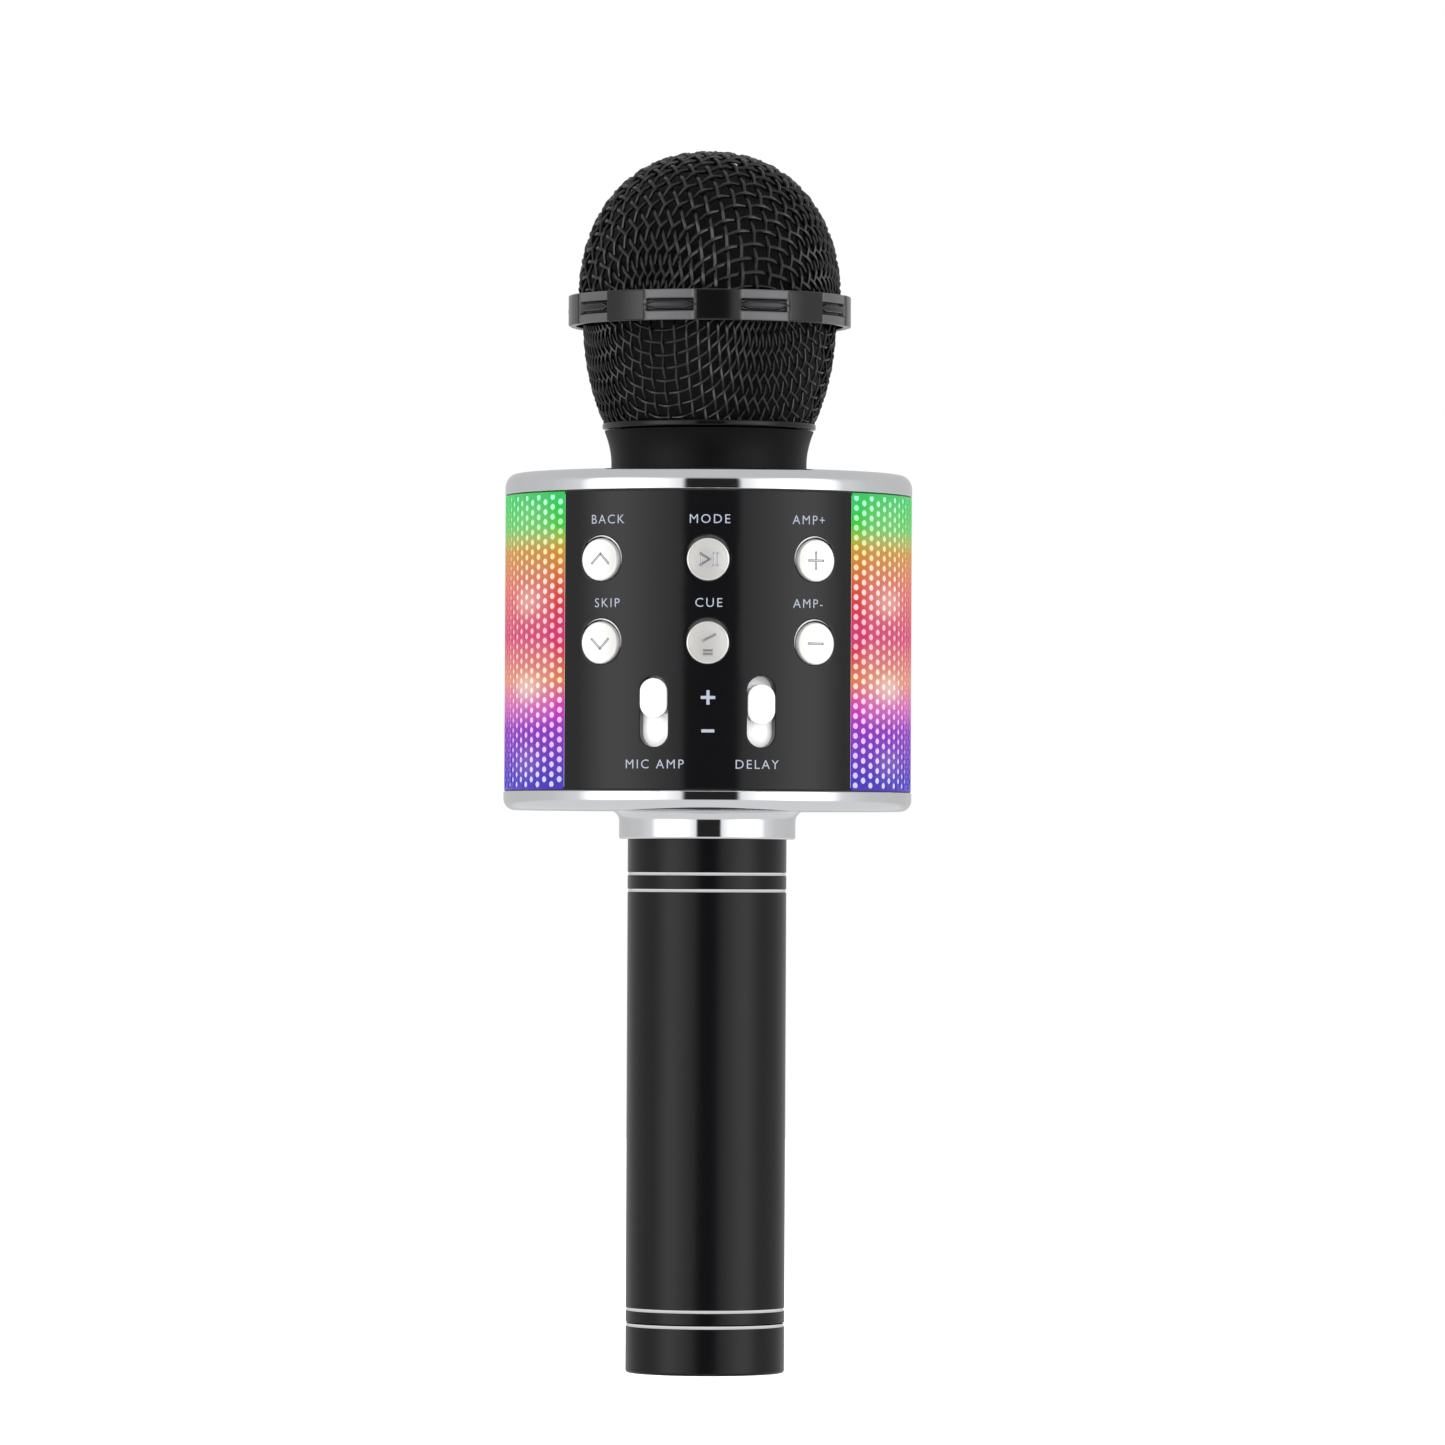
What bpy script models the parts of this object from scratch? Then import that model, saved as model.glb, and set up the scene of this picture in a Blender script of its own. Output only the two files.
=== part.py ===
"""Cordless toy microphone: a light-up speaker barrel on a handle, with a screw-on wire grille head.

Sizes are in millimetres here and are multiplied by MM where they enter Blender. The long axis is Z,
the tail face of the handle lies on Z = 0, and the control panel faces -Y. An angle on the barrel is
counted in degrees from the middle of the panel, positive towards +X.
"""

from math import cos, pi, radians, sin

import bmesh
import bpy
from mathutils import Matrix, Vector

MM = 0.001
GAP = 0.3  # between pieces that touch

# Handle
HANDLE_R = 16.25
HANDLE_BORE_R = 14.4
GROOVE_WIDE = 0.7
GROOVE_DEEP = 0.35
TUBE_GROOVES_Z = (13.0, 98.5, 101.9)
CAP_TOP_Z = 9.45
HANDLE_TOP_Z = 119.0

# Barrel
BARREL_R = 41.6
RING_R = 41.75
BARREL_LOW_Z = 118.6
BARREL_HIGH_Z = 179.2
LOWER_RING_LOW_Z = 114.8
UPPER_RING_HIGH_Z = 183.5
COLLAR_R = 18.05
COLLAR_LOW_Z = 109.0
PANEL_HALF_ANGLE = 44.0
PANEL_THICK = 2.2
GRILLE_THICK = 1.2
DIFFUSER_R = 39.4
DIFFUSER_THICK = 1.1
FRAME_R = 34.2
FRAME_THICK = 1.6
FLEX_R = 35.0
SCREW_ANGLES = (0, 120, 240)
SCREW_RADIUS = 29.0
LED_STRIPS = {"left": -62, "right": 62, "rear_left": -118, "rear_right": 118}
LED_HEIGHTS_Z = (174.0, 157.0, 139.5, 124.0)

# Controls
BUTTON_R = 4.45
BUTTON_HOLE_R = 4.85
BUTTON_DROP = 0.3  # a cap rests this much below the middle of its hole
BUTTON_PROUD = 0.7
BUTTON_ROWS_Z = {"upper": 165.0, "lower": 148.3}
BUTTON_COLUMNS = {"left": -31.5, "middle": 0.0, "right": 31.5}
SLOT_ANGLE = 15.0
SLOT_Z = 134.5
SLOT_LONG = 14.3
SLOT_WIDE = 5.75
KNOB_LONG = 7.9
KNOB_WIDE = 5.4
KNOB_TOP_R = 43.3
KNOB_Z = {"left": 137.2, "right": 136.0}

# Rear sockets
PORT_HALF_ANGLE = 26.0
PORT_LOW_Z = 120.6
PORT_HIGH_Z = 129.4
CHARGE_Z = 124.2
JACK_X = 10.4
JACK_Z = 125.1
CARD_X = -11.5
CARD_Z = 123.4

# Loudspeaker, facing the rear
SPEAKER_Y = 22.6
SPEAKER_Z = 149.0

# Head
NECK_TOP_Z = 192.5
NECK_WAIST_R = 20.0
NECK_RIM_R = 21.45
LIP_R = 21.85
BOWL_R = 26.0
BOWL_WIDEST_Z = 215.0
BOWL_REACH = 37.4
BOWL_LOW_Z = 194.3
BOWL_HIGH_Z = 216.7
BAND_R = 28.95
BAND_LOW_Z = 213.8
BAND_HIGH_Z = 220.1
BAND_LUGS = 9
BAND_LUG_ANGLE = 3.3
DOME_R = 27.0
DOME_Z = 219.0
DOME_LOW_Z = 217.1
DOME_TALL = 31.0
DOME_POWER = 2.2
WALL = 1.2

TURN_STEPS = 36
SMALL_STEPS = 16


def clear_scene():
    for old in list(bpy.data.objects):
        bpy.data.objects.remove(old)


def material(name, colour, roughness, metallic=0.0):
    made = bpy.data.materials.new(name)
    made.use_nodes = True
    shader = made.node_tree.nodes["Principled BSDF"]
    shader.inputs["Base Color"].default_value = (*colour, 1.0)
    shader.inputs["Roughness"].default_value = roughness
    shader.inputs["Metallic"].default_value = metallic
    return made


def finishes():
    return {
        "black": material("black_enamel", (0.012, 0.012, 0.013), 0.35),
        "wire": material("black_wire", (0.01, 0.01, 0.01), 0.5),
        "panel": material("panel_black", (0.02, 0.02, 0.021), 0.3),
        "chrome": material("chrome_plate", (0.75, 0.75, 0.76), 0.12, 1.0),
        "lit": material("lit_grille", (0.75, 0.3, 0.5), 0.4),
        "milky": material("milky_plastic", (0.8, 0.8, 0.78), 0.5),
        "frame": material("frame_plastic", (0.08, 0.08, 0.085), 0.5),
        "board": material("circuit_board", (0.02, 0.12, 0.05), 0.5),
        "flex": material("flex_circuit", (0.35, 0.18, 0.04), 0.4),
        "steel": material("steel", (0.5, 0.5, 0.5), 0.3, 1.0),
        "magnet": material("magnet", (0.1, 0.1, 0.11), 0.5, 0.5),
        "paper": material("cone_paper", (0.03, 0.03, 0.03), 0.8),
        "rubber": material("rubber", (0.02, 0.02, 0.02), 0.8),
        "foam": material("foam", (0.015, 0.015, 0.015), 0.95),
        "cell": material("cell_wrap", (0.05, 0.2, 0.45), 0.35),
    }


def place(name, mesh, finish, matrix=None):
    """An object holding this mesh, shaded smooth except over sharp edges."""
    made = bpy.data.objects.new(name, mesh)
    bpy.context.collection.objects.link(made)
    if finish:
        mesh.materials.append(finish)
    if matrix:
        made.matrix_world = matrix
    return made


def mesh_of(name, bm):
    bmesh.ops.recalc_face_normals(bm, faces=bm.faces)
    mesh = bpy.data.meshes.new(name)
    bm.to_mesh(mesh)
    bm.free()
    mesh.shade_smooth()
    mesh.set_sharp_from_angle(angle=radians(30))
    return mesh


def turned(name, profile, finish, closed=True, steps=TURN_STEPS, matrix=None):
    """A profile of (radius, height) turned about Z by a Screw, running down its outer side."""
    points = [(r * MM, 0, z * MM) for r, z in profile]
    edges = [(i, i + 1) for i in range(len(points) - 1)]
    if closed:
        edges.append((len(points) - 1, 0))
    mesh = bpy.data.meshes.new(name)
    mesh.from_pydata(points, edges, [])
    made = place(name, mesh, finish, matrix)
    screw = made.modifiers.new("turn", "SCREW")
    screw.steps = screw.render_steps = steps
    screw.use_merge_vertices = True
    screw.merge_threshold = 1e-5
    screw.use_smooth_shade = True
    return made


def arc(centre, radius_r, radius_z, start, end, steps):
    """Points of (radius, height) on a quarter-ellipse corner, from one angle to the other in degrees."""
    turns = [radians(start + (end - start) * i / steps) for i in range(steps + 1)]
    return [(centre[0] + radius_r * cos(t), centre[1] + radius_z * sin(t)) for t in turns]


def barrel_matrix(angle, radius, z):
    """Local Z outwards, local Y up, local X along the barrel's surface to the right."""
    a = radians(angle)
    turn = Matrix(((cos(a), 0, sin(a)), (sin(a), 0, -cos(a)), (0, 1, 0))).to_4x4()
    spot = Vector((radius * sin(a), -radius * cos(a), z)) * MM
    return Matrix.Translation(spot) @ turn


def sector(name, inner, outer, low, high, start, end, finish, step=7.5):
    """A stretch of barrel wall between two radii, two heights and two angles."""
    bm = bmesh.new()
    first = barrel_matrix(start, 0, 0).to_3x3() @ Vector((0, 0, 1))
    corners = [(inner, low), (outer, low), (outer, high), (inner, high)]
    verts = [bm.verts.new((first * r + Vector((0, 0, z))) * MM) for r, z in corners]
    face = bm.faces.new(verts)
    bmesh.ops.spin(
        bm,
        geom=[face, *face.edges, *face.verts],
        cent=(0, 0, 0),
        axis=(0, 0, 1),
        angle=radians(end - start),
        steps=round((end - start) / step),
    )
    return place(name, mesh_of(name, bm), finish)


def pill(long, wide, steps=6):
    """A round-ended outline standing along local Y."""
    r = wide / 2
    top = [(r * cos(pi * i / steps), long / 2 - r + r * sin(pi * i / steps)) for i in range(steps + 1)]
    return top + [(-x, -y) for x, y in top]


def rectangle(wide, tall):
    return [(wide / 2, tall / 2), (-wide / 2, tall / 2), (-wide / 2, -tall / 2), (wide / 2, -tall / 2)]


def disc(radius, steps=SMALL_STEPS):
    return [(radius * cos(2 * pi * i / steps), radius * sin(2 * pi * i / steps)) for i in range(steps)]


def add_prism(bm, outline, low, high, matrix=None):
    """An outline extruded along local Z from low to high, added to a mesh under construction."""
    verts = [bm.verts.new(Vector((x, y, low)) * MM) for x, y in outline]
    face = bm.faces.new(verts)
    grown = bmesh.ops.extrude_face_region(bm, geom=[face])["geom"]
    tops = [item for item in grown if isinstance(item, bmesh.types.BMVert)]
    bmesh.ops.translate(bm, vec=(0, 0, (high - low) * MM), verts=tops)
    if matrix:
        bmesh.ops.transform(bm, matrix=matrix, verts=verts + tops)


def prism(name, outline, low, high, finish, matrix=None):
    bm = bmesh.new()
    add_prism(bm, outline, low, high)
    return place(name, mesh_of(name, bm), finish, matrix)


def box(name, x, y, z, finish):
    """A block given by its ranges along the three axes."""
    bm = bmesh.new()
    add_box(bm, x, y, z)
    return place(name, mesh_of(name, bm), finish)


def add_box(bm, x, y, z):
    corners = [(x[1], y[1]), (x[0], y[1]), (x[0], y[0]), (x[1], y[0])]
    add_prism(bm, corners, z[0], z[1])


def combine(target, operation, add_shapes):
    """Joins shapes to a piece or cuts them from it, with a helper that is never a piece itself."""
    bm = bmesh.new()
    add_shapes(bm)
    helper = place(f"{target.name}_{operation.lower()}", mesh_of("helper", bm), None)
    helper.hide_render = True
    helper.display_type = "WIRE"
    change = target.modifiers.new(operation.lower(), "BOOLEAN")
    change.operation = operation
    change.solver = "EXACT"
    change.object = helper
    helper.hide_set(True)


def upward(x, y, z=0.0):
    return Matrix.Translation(Vector((x, y, z)) * MM)


def rearward(x, y, z):
    """Local Z towards the rear, local Y up."""
    return upward(x, y, z) @ Matrix.Rotation(radians(-90), 4, "X") @ Matrix.Rotation(pi, 4, "Z")


def handle(finish):
    tail = [(0, 2.4), (12.0, 2.4), (12.0, 20.0), (14.0, 20.0), (14.0, CAP_TOP_Z + GROOVE_WIDE)]
    tail += [(HANDLE_R - GROOVE_DEEP, CAP_TOP_Z + GROOVE_WIDE), (HANDLE_R - GROOVE_DEEP, CAP_TOP_Z)]
    tail += [(HANDLE_R, CAP_TOP_Z)]
    tail += arc((HANDLE_R - 0.6, 0.6), 0.6, 0.6, 0, -90, 3)
    tail += [(0, 0)]
    turned("tail_cap", tail, finish["black"], closed=False)

    tube = [(HANDLE_BORE_R, HANDLE_TOP_Z), (HANDLE_R, HANDLE_TOP_Z)]
    for z in sorted(TUBE_GROOVES_Z, reverse=True):
        high = z + GROOVE_WIDE / 2
        low = z - GROOVE_WIDE / 2
        floor = HANDLE_R - GROOVE_DEEP
        tube += [(HANDLE_R, high), (floor, high), (floor, low), (HANDLE_R, low)]
    foot = CAP_TOP_Z + GROOVE_WIDE + 0.2
    tube += [(HANDLE_R, foot), (HANDLE_BORE_R, foot)]
    turned("handle_tube", tube, finish["black"])


def battery(finish):
    cell = [(0, 89.5), (3.0, 89.5), (3.0, 88.6), (8.6, 88.6), (9.1, 88.1), (9.1, 24.5), (0, 24.5)]
    turned("battery_cell", cell, finish["cell"], closed=False, steps=20)

    carrier = [(13.9, 93.0), (13.9, 21.0), (9.6, 21.0), (9.6, 93.0)]
    trough = turned("battery_carrier", carrier, finish["frame"], steps=20)
    combine(trough, "DIFFERENCE", lambda bm: add_box(bm, (-15, 15), (-15, -2), (26, 88)))

    turned("battery_contact", [(0, 90.4), (8.5, 90.4), (8.5, 89.8), (0, 89.8)], finish["steel"], False, 20)
    spring_coil(finish)


def spring_coil(finish):
    """A conical compression spring from the tail cap's floor to the cell's flat end."""
    turns, per_turn, low, high = 4, 10, 3.2, 23.9
    curve = bpy.data.curves.new("battery_spring", "CURVE")
    curve.dimensions = "3D"
    curve.bevel_depth = 0.45 * MM
    curve.bevel_resolution = 0
    curve.use_fill_caps = True
    count = turns * per_turn + 1
    line = curve.splines.new("POLY")
    line.points.add(count - 1)
    for i, point in enumerate(line.points):
        share = i / (count - 1)
        angle = 2 * pi * turns * share
        radius = 7.5 - 3.0 * share
        spot = Vector((radius * cos(angle), radius * sin(angle), low + (high - low) * share)) * MM
        point.co = (*spot, 1)
    made = bpy.data.objects.new("battery_spring", curve)
    curve.materials.append(finish["steel"])
    bpy.context.collection.objects.link(made)


def trim_rings(finish):
    lower = [(RING_R, BARREL_LOW_Z)]
    lower += arc((RING_R - 2.3, LOWER_RING_LOW_Z + 2.3), 2.3, 2.3, 0, -90, 4)
    lower += arc((COLLAR_R + 2.1, LOWER_RING_LOW_Z - 2.1), 2.1, 2.1, 90, 180, 3)
    lower += arc((COLLAR_R - 0.5, COLLAR_LOW_Z + 0.5), 0.5, 0.5, 0, -90, 2)
    inside = HANDLE_R + GAP
    lower += [(inside, COLLAR_LOW_Z), (inside, HANDLE_TOP_Z + GAP), (12.5, HANDLE_TOP_Z + GAP)]
    lower += [(12.5, 121.0), (19.0, 121.0), (19.0, 116.6), (39.6, 116.6), (39.6, BARREL_LOW_Z)]
    ring = turned("bottom_ring", lower, finish["chrome"])

    def bosses(bm):
        for angle in SCREW_ANGLES:
            add_prism(bm, disc(2.8, 12), 116.2, 119.7, screw_spot(angle))

    def pilot_holes(bm):
        for angle in SCREW_ANGLES:
            add_prism(bm, disc(1.5, 12), 117.4, 120.5, screw_spot(angle))

    combine(ring, "UNION", bosses)
    combine(ring, "DIFFERENCE", pilot_holes)

    corner = (RING_R - 0.1 - 2.3, UPPER_RING_HIGH_Z - 2.9)
    upper = arc(corner, 2.3, 2.9, 90, 0, 4)
    upper += [(RING_R - 0.1, BARREL_HIGH_Z), (39.9, BARREL_HIGH_Z), (39.9, 181.7)]
    upper += [(17.0, 181.7), (17.0, UPPER_RING_HIGH_Z)]
    turned("top_ring", upper, finish["chrome"])


def screw_spot(angle):
    a = radians(angle)
    return upward(SCREW_RADIUS * sin(a), -SCREW_RADIUS * cos(a))


def inner_frame(finish):
    inner = FRAME_R - FRAME_THICK
    tube = [(FRAME_R, 181.3), (FRAME_R, 117.0), (inner, 117.0), (inner, 181.3)]
    frame = turned("inner_frame", tube, finish["frame"])

    def baffle_and_lugs(bm):
        add_box(bm, (-22.5, 22.5), (24.4, 26.4), (127, 176))
        for angle in SCREW_ANGLES:
            lug = rectangle(6.5, 2.5)
            add_prism(bm, lug, 26.2, 33.2, barrel_matrix(angle, 0, 121.35))

    def openings(bm):
        add_prism(bm, disc(18.5, 24), 0, 20, rearward(0, 20, SPEAKER_Z))
        add_box(bm, (-19, 19), (26.7, 40), (119.6, 130.4))
        for angle in SCREW_ANGLES:
            add_prism(bm, disc(1.5, 12), 118, 124, screw_spot(angle))
        add_box(bm, (-8, 8), (-40, -30), (170.5, 175.5))

    combine(frame, "UNION", baffle_and_lugs)
    combine(frame, "DIFFERENCE", openings)

    screw = [(0, 124.4), (1.4, 124.4), (2.2, 123.8), (2.2, 122.9), (1.15, 122.9), (1.15, 117.8), (0, 117.8)]
    for number, angle in enumerate(SCREW_ANGLES, 1):
        spot = screw_spot(angle)
        turned(f"frame_screw_{number}", screw, finish["steel"], closed=False, steps=10, matrix=spot)


def loudspeaker(finish):
    spot = rearward(0, SPEAKER_Y, SPEAKER_Z)
    basket = [(20.0, 1.5), (20.0, 0.0), (17.8, -1.0), (12.0, -9.0), (12.0, -10.0), (5.6, -10.0)]
    basket += [(5.6, -9.2), (11.2, -8.4), (17.0, -0.4), (17.8, 1.5)]
    turned("speaker_basket", basket, finish["steel"], steps=24, matrix=spot)
    magnet = [(0, -10.3), (11.0, -10.3), (11.0, -17.0), (0, -17.0)]
    turned("speaker_magnet", magnet, finish["magnet"], closed=False, steps=20, matrix=spot)
    cone = [(17.2, 1.2), (17.0, 0.4), (5.2, -6.4), (5.2, -9.8), (4.6, -9.8), (4.6, -5.8), (16.2, 1.2)]
    turned("speaker_cone", cone, finish["paper"], steps=24, matrix=spot)
    cap = [(0, -3.9), (2.4, -4.3), (4.2, -5.3), (4.2, -5.9), (0, -5.9)]
    turned("speaker_dust_cap", cap, finish["paper"], closed=False, steps=12, matrix=spot)


def lights(finish):
    low = BARREL_LOW_Z + GAP
    high = BARREL_HIGH_Z - GAP
    edge = PANEL_HALF_ANGLE + 0.4
    inner = BARREL_R - GRILLE_THICK
    skin = sector("speaker_grille", inner, BARREL_R, low, high, edge, 360 - edge, finish["lit"])
    sleeve = sector(
        "light_diffuser", DIFFUSER_R - DIFFUSER_THICK, DIFFUSER_R, low + 1, high - 1, edge + 1, 359 - edge,
        finish["milky"],
    )

    def window(spare):
        half = (BARREL_R + 5) * sin(radians(PORT_HALF_ANGLE + spare))
        return lambda bm: add_box(bm, (-half, half), (20, 45), (110, PORT_HIGH_Z + spare))

    combine(sleeve, "DIFFERENCE", window(1.2))

    def grille_window(bm):
        half = PORT_HALF_ANGLE + 0.5
        wedge = [(0.0, 0.0)]
        wedge += [(60 * sin(radians(180 + a)), -60 * cos(radians(180 + a))) for a in (half, 0, -half)]
        add_prism(bm, wedge, PORT_LOW_Z - GAP, PORT_HIGH_Z + GAP)

    combine(skin, "DIFFERENCE", grille_window)

    for side, angle in LED_STRIPS.items():
        bm = bmesh.new()
        add_prism(bm, rectangle(7, 56), 34.7, 35.7, barrel_matrix(angle, 0, 149))
        strip = place(f"led_strip_{side}", mesh_of("strip", bm), finish["board"])

        def packages(bm, angle=angle):
            for z in LED_HEIGHTS_Z:
                add_prism(bm, rectangle(5, 3.6), 35.5, 37.0, barrel_matrix(angle, 0, z))

        combine(strip, "UNION", packages)


def control_panel(finish):
    low = BARREL_LOW_Z + GAP
    high = BARREL_HIGH_Z - GAP
    half = PANEL_HALF_ANGLE
    inner = BARREL_R - PANEL_THICK
    panel = sector("control_panel", inner, BARREL_R, low, high, -half, half, finish["panel"], step=5.5)

    def holes(bm):
        for z in BUTTON_ROWS_Z.values():
            for angle in BUTTON_COLUMNS.values():
                spot = barrel_matrix(angle, 0, z + BUTTON_DROP)
                add_prism(bm, disc(BUTTON_HOLE_R, 20), inner - 1, BARREL_R + 2, spot)
        for angle in (-SLOT_ANGLE, SLOT_ANGLE):
            spot = barrel_matrix(angle, 0, SLOT_Z)
            add_prism(bm, pill(SLOT_LONG, SLOT_WIDE), inner - 1, BARREL_R + 2, spot)

    combine(panel, "DIFFERENCE", holes)


def push_buttons(finish):
    """Caps with a dished face, a retaining flange behind the panel and a short stem over the switch."""
    cap = [(0, 0.35), (2.6, 0.45), (3.9, BUTTON_PROUD), (BUTTON_R, 0.35), (BUTTON_R, -2.9), (5.4, -2.9)]
    cap += [(5.4, -3.6), (1.5, -3.6), (1.5, -4.0), (0, -4.0)]
    for row, z in BUTTON_ROWS_Z.items():
        for column, angle in BUTTON_COLUMNS.items():
            spot = barrel_matrix(angle, BARREL_R, z)
            turned(f"button_{row}_{column}", cap, finish["chrome"], False, SMALL_STEPS, spot)
            tact_switch(f"tact_switch_{row}_{column}", angle, z, finish)


def tact_switch(name, angle, z, finish):
    bm = bmesh.new()
    add_prism(bm, rectangle(5.0, 5.0), FLEX_R + GAP, FLEX_R + 1.4)
    top = max(bm.faces, key=lambda face: face.calc_center_median().z)
    bmesh.ops.inset_region(bm, faces=[top], thickness=1.6 * MM)
    grown = bmesh.ops.extrude_face_region(bm, geom=[top])["geom"]
    tops = [item for item in grown if isinstance(item, bmesh.types.BMVert)]
    bmesh.ops.translate(bm, vec=(0, 0, 0.4 * MM), verts=tops)
    bmesh.ops.delete(bm, geom=[top], context="FACES_ONLY")
    place(name, mesh_of(name, bm), finish["frame"], barrel_matrix(angle, 0, z))


def slide_controls(finish):
    """A round-ended knob on a plate that keeps the slot closed, with a lever in the slide pot."""
    for side, angle in (("left", -SLOT_ANGLE), ("right", SLOT_ANGLE)):
        spot = barrel_matrix(angle, 0, KNOB_Z[side])
        plate = prism(f"slide_knob_{side}", rectangle(8.2, 21.2), 38.1, 38.9, finish["chrome"], spot)

        def knob_and_lever(bm, spot=spot):
            add_prism(bm, pill(KNOB_LONG, KNOB_WIDE), 38.5, KNOB_TOP_R, spot)
            add_prism(bm, rectangle(1.4, 1.8), 36.2, 38.5, spot)

        combine(plate, "UNION", knob_and_lever)

        spot = barrel_matrix(angle, 0, SLOT_Z)
        pot = prism(f"slide_pot_{side}", rectangle(6, 16), FLEX_R + GAP, 37.2, finish["steel"], spot)

        def groove(bm, spot=spot):
            add_prism(bm, rectangle(2.2, 10.0), 35.9, 38, spot)

        combine(pot, "DIFFERENCE", groove)


def circuit_boards(finish):
    sector("key_flex", FLEX_R - 0.5, FLEX_R, 122, 174, -42, 42, finish["flex"], step=6)
    box("main_board", (-23, 23), (-22.3, -20.7), (126, 172), finish["board"])


def sockets(finish):
    inner = BARREL_R - GRILLE_THICK
    start, end = 180 - PORT_HALF_ANGLE, 180 + PORT_HALF_ANGLE
    panel = finish["panel"]
    plate = sector("port_plate", inner, BARREL_R, PORT_LOW_Z, PORT_HIGH_Z, start, end, panel, 6)

    def plate_holes(bm):
        for outline, x, z in (
            (pill_flat(9.6, 3.9), 0, CHARGE_Z),
            (disc(2.2, 12), JACK_X, JACK_Z),
            (rectangle(11.6, 1.6), CARD_X, CARD_Z),
        ):
            add_prism(bm, outline, 0, 20, rearward(x, 30, z))

    combine(plate, "DIFFERENCE", plate_holes)
    box("port_board", (-18, 14.5), (28.2, 34.0), (120.9, 122.1), finish["board"])

    def bore(body, outline, x, y, z, deep):
        combine(body, "DIFFERENCE", lambda bm: add_prism(bm, outline, 0, deep, rearward(x, y, z)))

    span = (CHARGE_Z - 1.7, CHARGE_Z + 1.7)
    charge = box("charge_port", (-4.6, 4.6), (31.5, 39.4), span, finish["steel"])
    bore(charge, pill_flat(8.2, 2.5), 0, 33, CHARGE_Z, 10)
    span = (JACK_Z - 2.6, JACK_Z + 2.6)
    jack = box("audio_jack", (JACK_X - 3, JACK_X + 3), (28, 37.2), span, finish["frame"])
    bore(jack, disc(1.8, 12), JACK_X, 30, JACK_Z, 10)
    span = (CARD_Z - 0.9, CARD_Z + 0.9)
    card = box("card_socket", (CARD_X - 6, CARD_X + 6), (24.9, 35.4), span, finish["steel"])
    bore(card, rectangle(11, 1.0), CARD_X, 26, CARD_Z, 12)


def pill_flat(long, wide):
    """A round-ended outline lying along local X."""
    return [(-y, x) for x, y in pill(long, wide, 5)]


def neck(finish):
    steps = 6
    waist_z, rim_z = 186.0, NECK_TOP_Z
    flare = []
    for i in range(steps + 1):
        share = 1 - i / steps
        r = NECK_WAIST_R + (NECK_RIM_R - NECK_WAIST_R) * share**1.8
        flare.append((r, waist_z + (rim_z - waist_z) * share))
    seat = UPPER_RING_HIGH_Z + GAP
    body = flare + [(NECK_WAIST_R, seat), (16.6, seat), (16.6, 176.5), (14.6, 176.5), (14.6, 184.5)]
    body += [(18.3, 184.5), (18.3, 191.4), (20.7, 191.4), (20.7, rim_z)]
    turned("neck", body, finish["black"])
    turned("neck_nut", [(21.0, 181.4), (21.0, 177.6), (16.9, 177.6), (16.9, 181.4)], finish["steel"])

    mount = [(7.0, 205.0), (7.6, 204.0), (8.0, 190.0), (14.8, 186.0), (17.9, 185.9), (17.9, 184.8)]
    mount += [(6.0, 184.8), (5.0, 200.4), (5.2, 200.4), (5.2, 205.0)]
    turned("capsule_mount", mount, finish["rubber"], steps=20)
    turned("mic_capsule", [(0, 206.4), (4.85, 206.4), (4.85, 200.8), (0, 200.8)], finish["steel"], False, 16)


def bowl_radius(z, inset=0.0):
    """The lower basket's radius at a height: an ellipse standing on its widest ring."""
    return (BOWL_R - inset) * (1 - ((BOWL_WIDEST_Z - z) / BOWL_REACH) ** 2) ** 0.5


def bowl_line(inset, low, high, steps):
    heights = [low + (high - low) * i / steps for i in range(steps + 1)]
    return [(bowl_radius(z, inset), z) for z in heights]


def dome_line(inset, steps):
    """The dome's half outline from the pole to its foot: a superellipse."""
    line = []
    for i in range(steps + 1):
        t = pi / 2 * i / steps
        r = (DOME_R - inset) * sin(t) ** (2 / DOME_POWER)
        line.append((r, DOME_Z + (DOME_TALL - inset) * cos(t) ** (2 / DOME_POWER)))
    line[0] = (0, line[0][1])
    line[-1] = (DOME_R - inset, DOME_Z)
    return line


def head(finish):
    washer = [(20.4, 192.4), (20.4, 191.7), (18.4, 191.7), (18.4, 192.4)]
    turned("grille_washer", washer, finish["rubber"])

    socket = [(LIP_R, 194.0), (LIP_R, 192.8), (18.0, 192.8), (18.0, 186.3), (15.8, 186.3), (15.8, 194.0)]
    turned("grille_socket", socket, finish["black"])

    outer = bowl_line(0, BOWL_LOW_Z, BOWL_HIGH_Z, 5)[::-1]
    inner = bowl_line(WALL, BOWL_LOW_Z, BOWL_HIGH_Z, 5)
    turned("grille_bowl", outer + inner, finish["wire"])

    outer = dome_line(0, 9) + [(DOME_R, DOME_LOW_Z)]
    inner = [(DOME_R - WALL, DOME_LOW_Z)] + dome_line(WALL, 9)[::-1]
    turned("grille_dome", outer + inner, finish["wire"], closed=False)

    inset = WALL + GAP
    outer = dome_line(inset, 5)[:-1] + bowl_line(inset, 196.5, 213.0, 3)[::-1]
    inset += 3.0
    inner = bowl_line(inset, 196.5, 213.0, 3) + dome_line(inset, 5)[:-1][::-1]
    turned("grille_foam", outer + inner, finish["foam"], closed=False, steps=24)
    head_band(finish)


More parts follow.
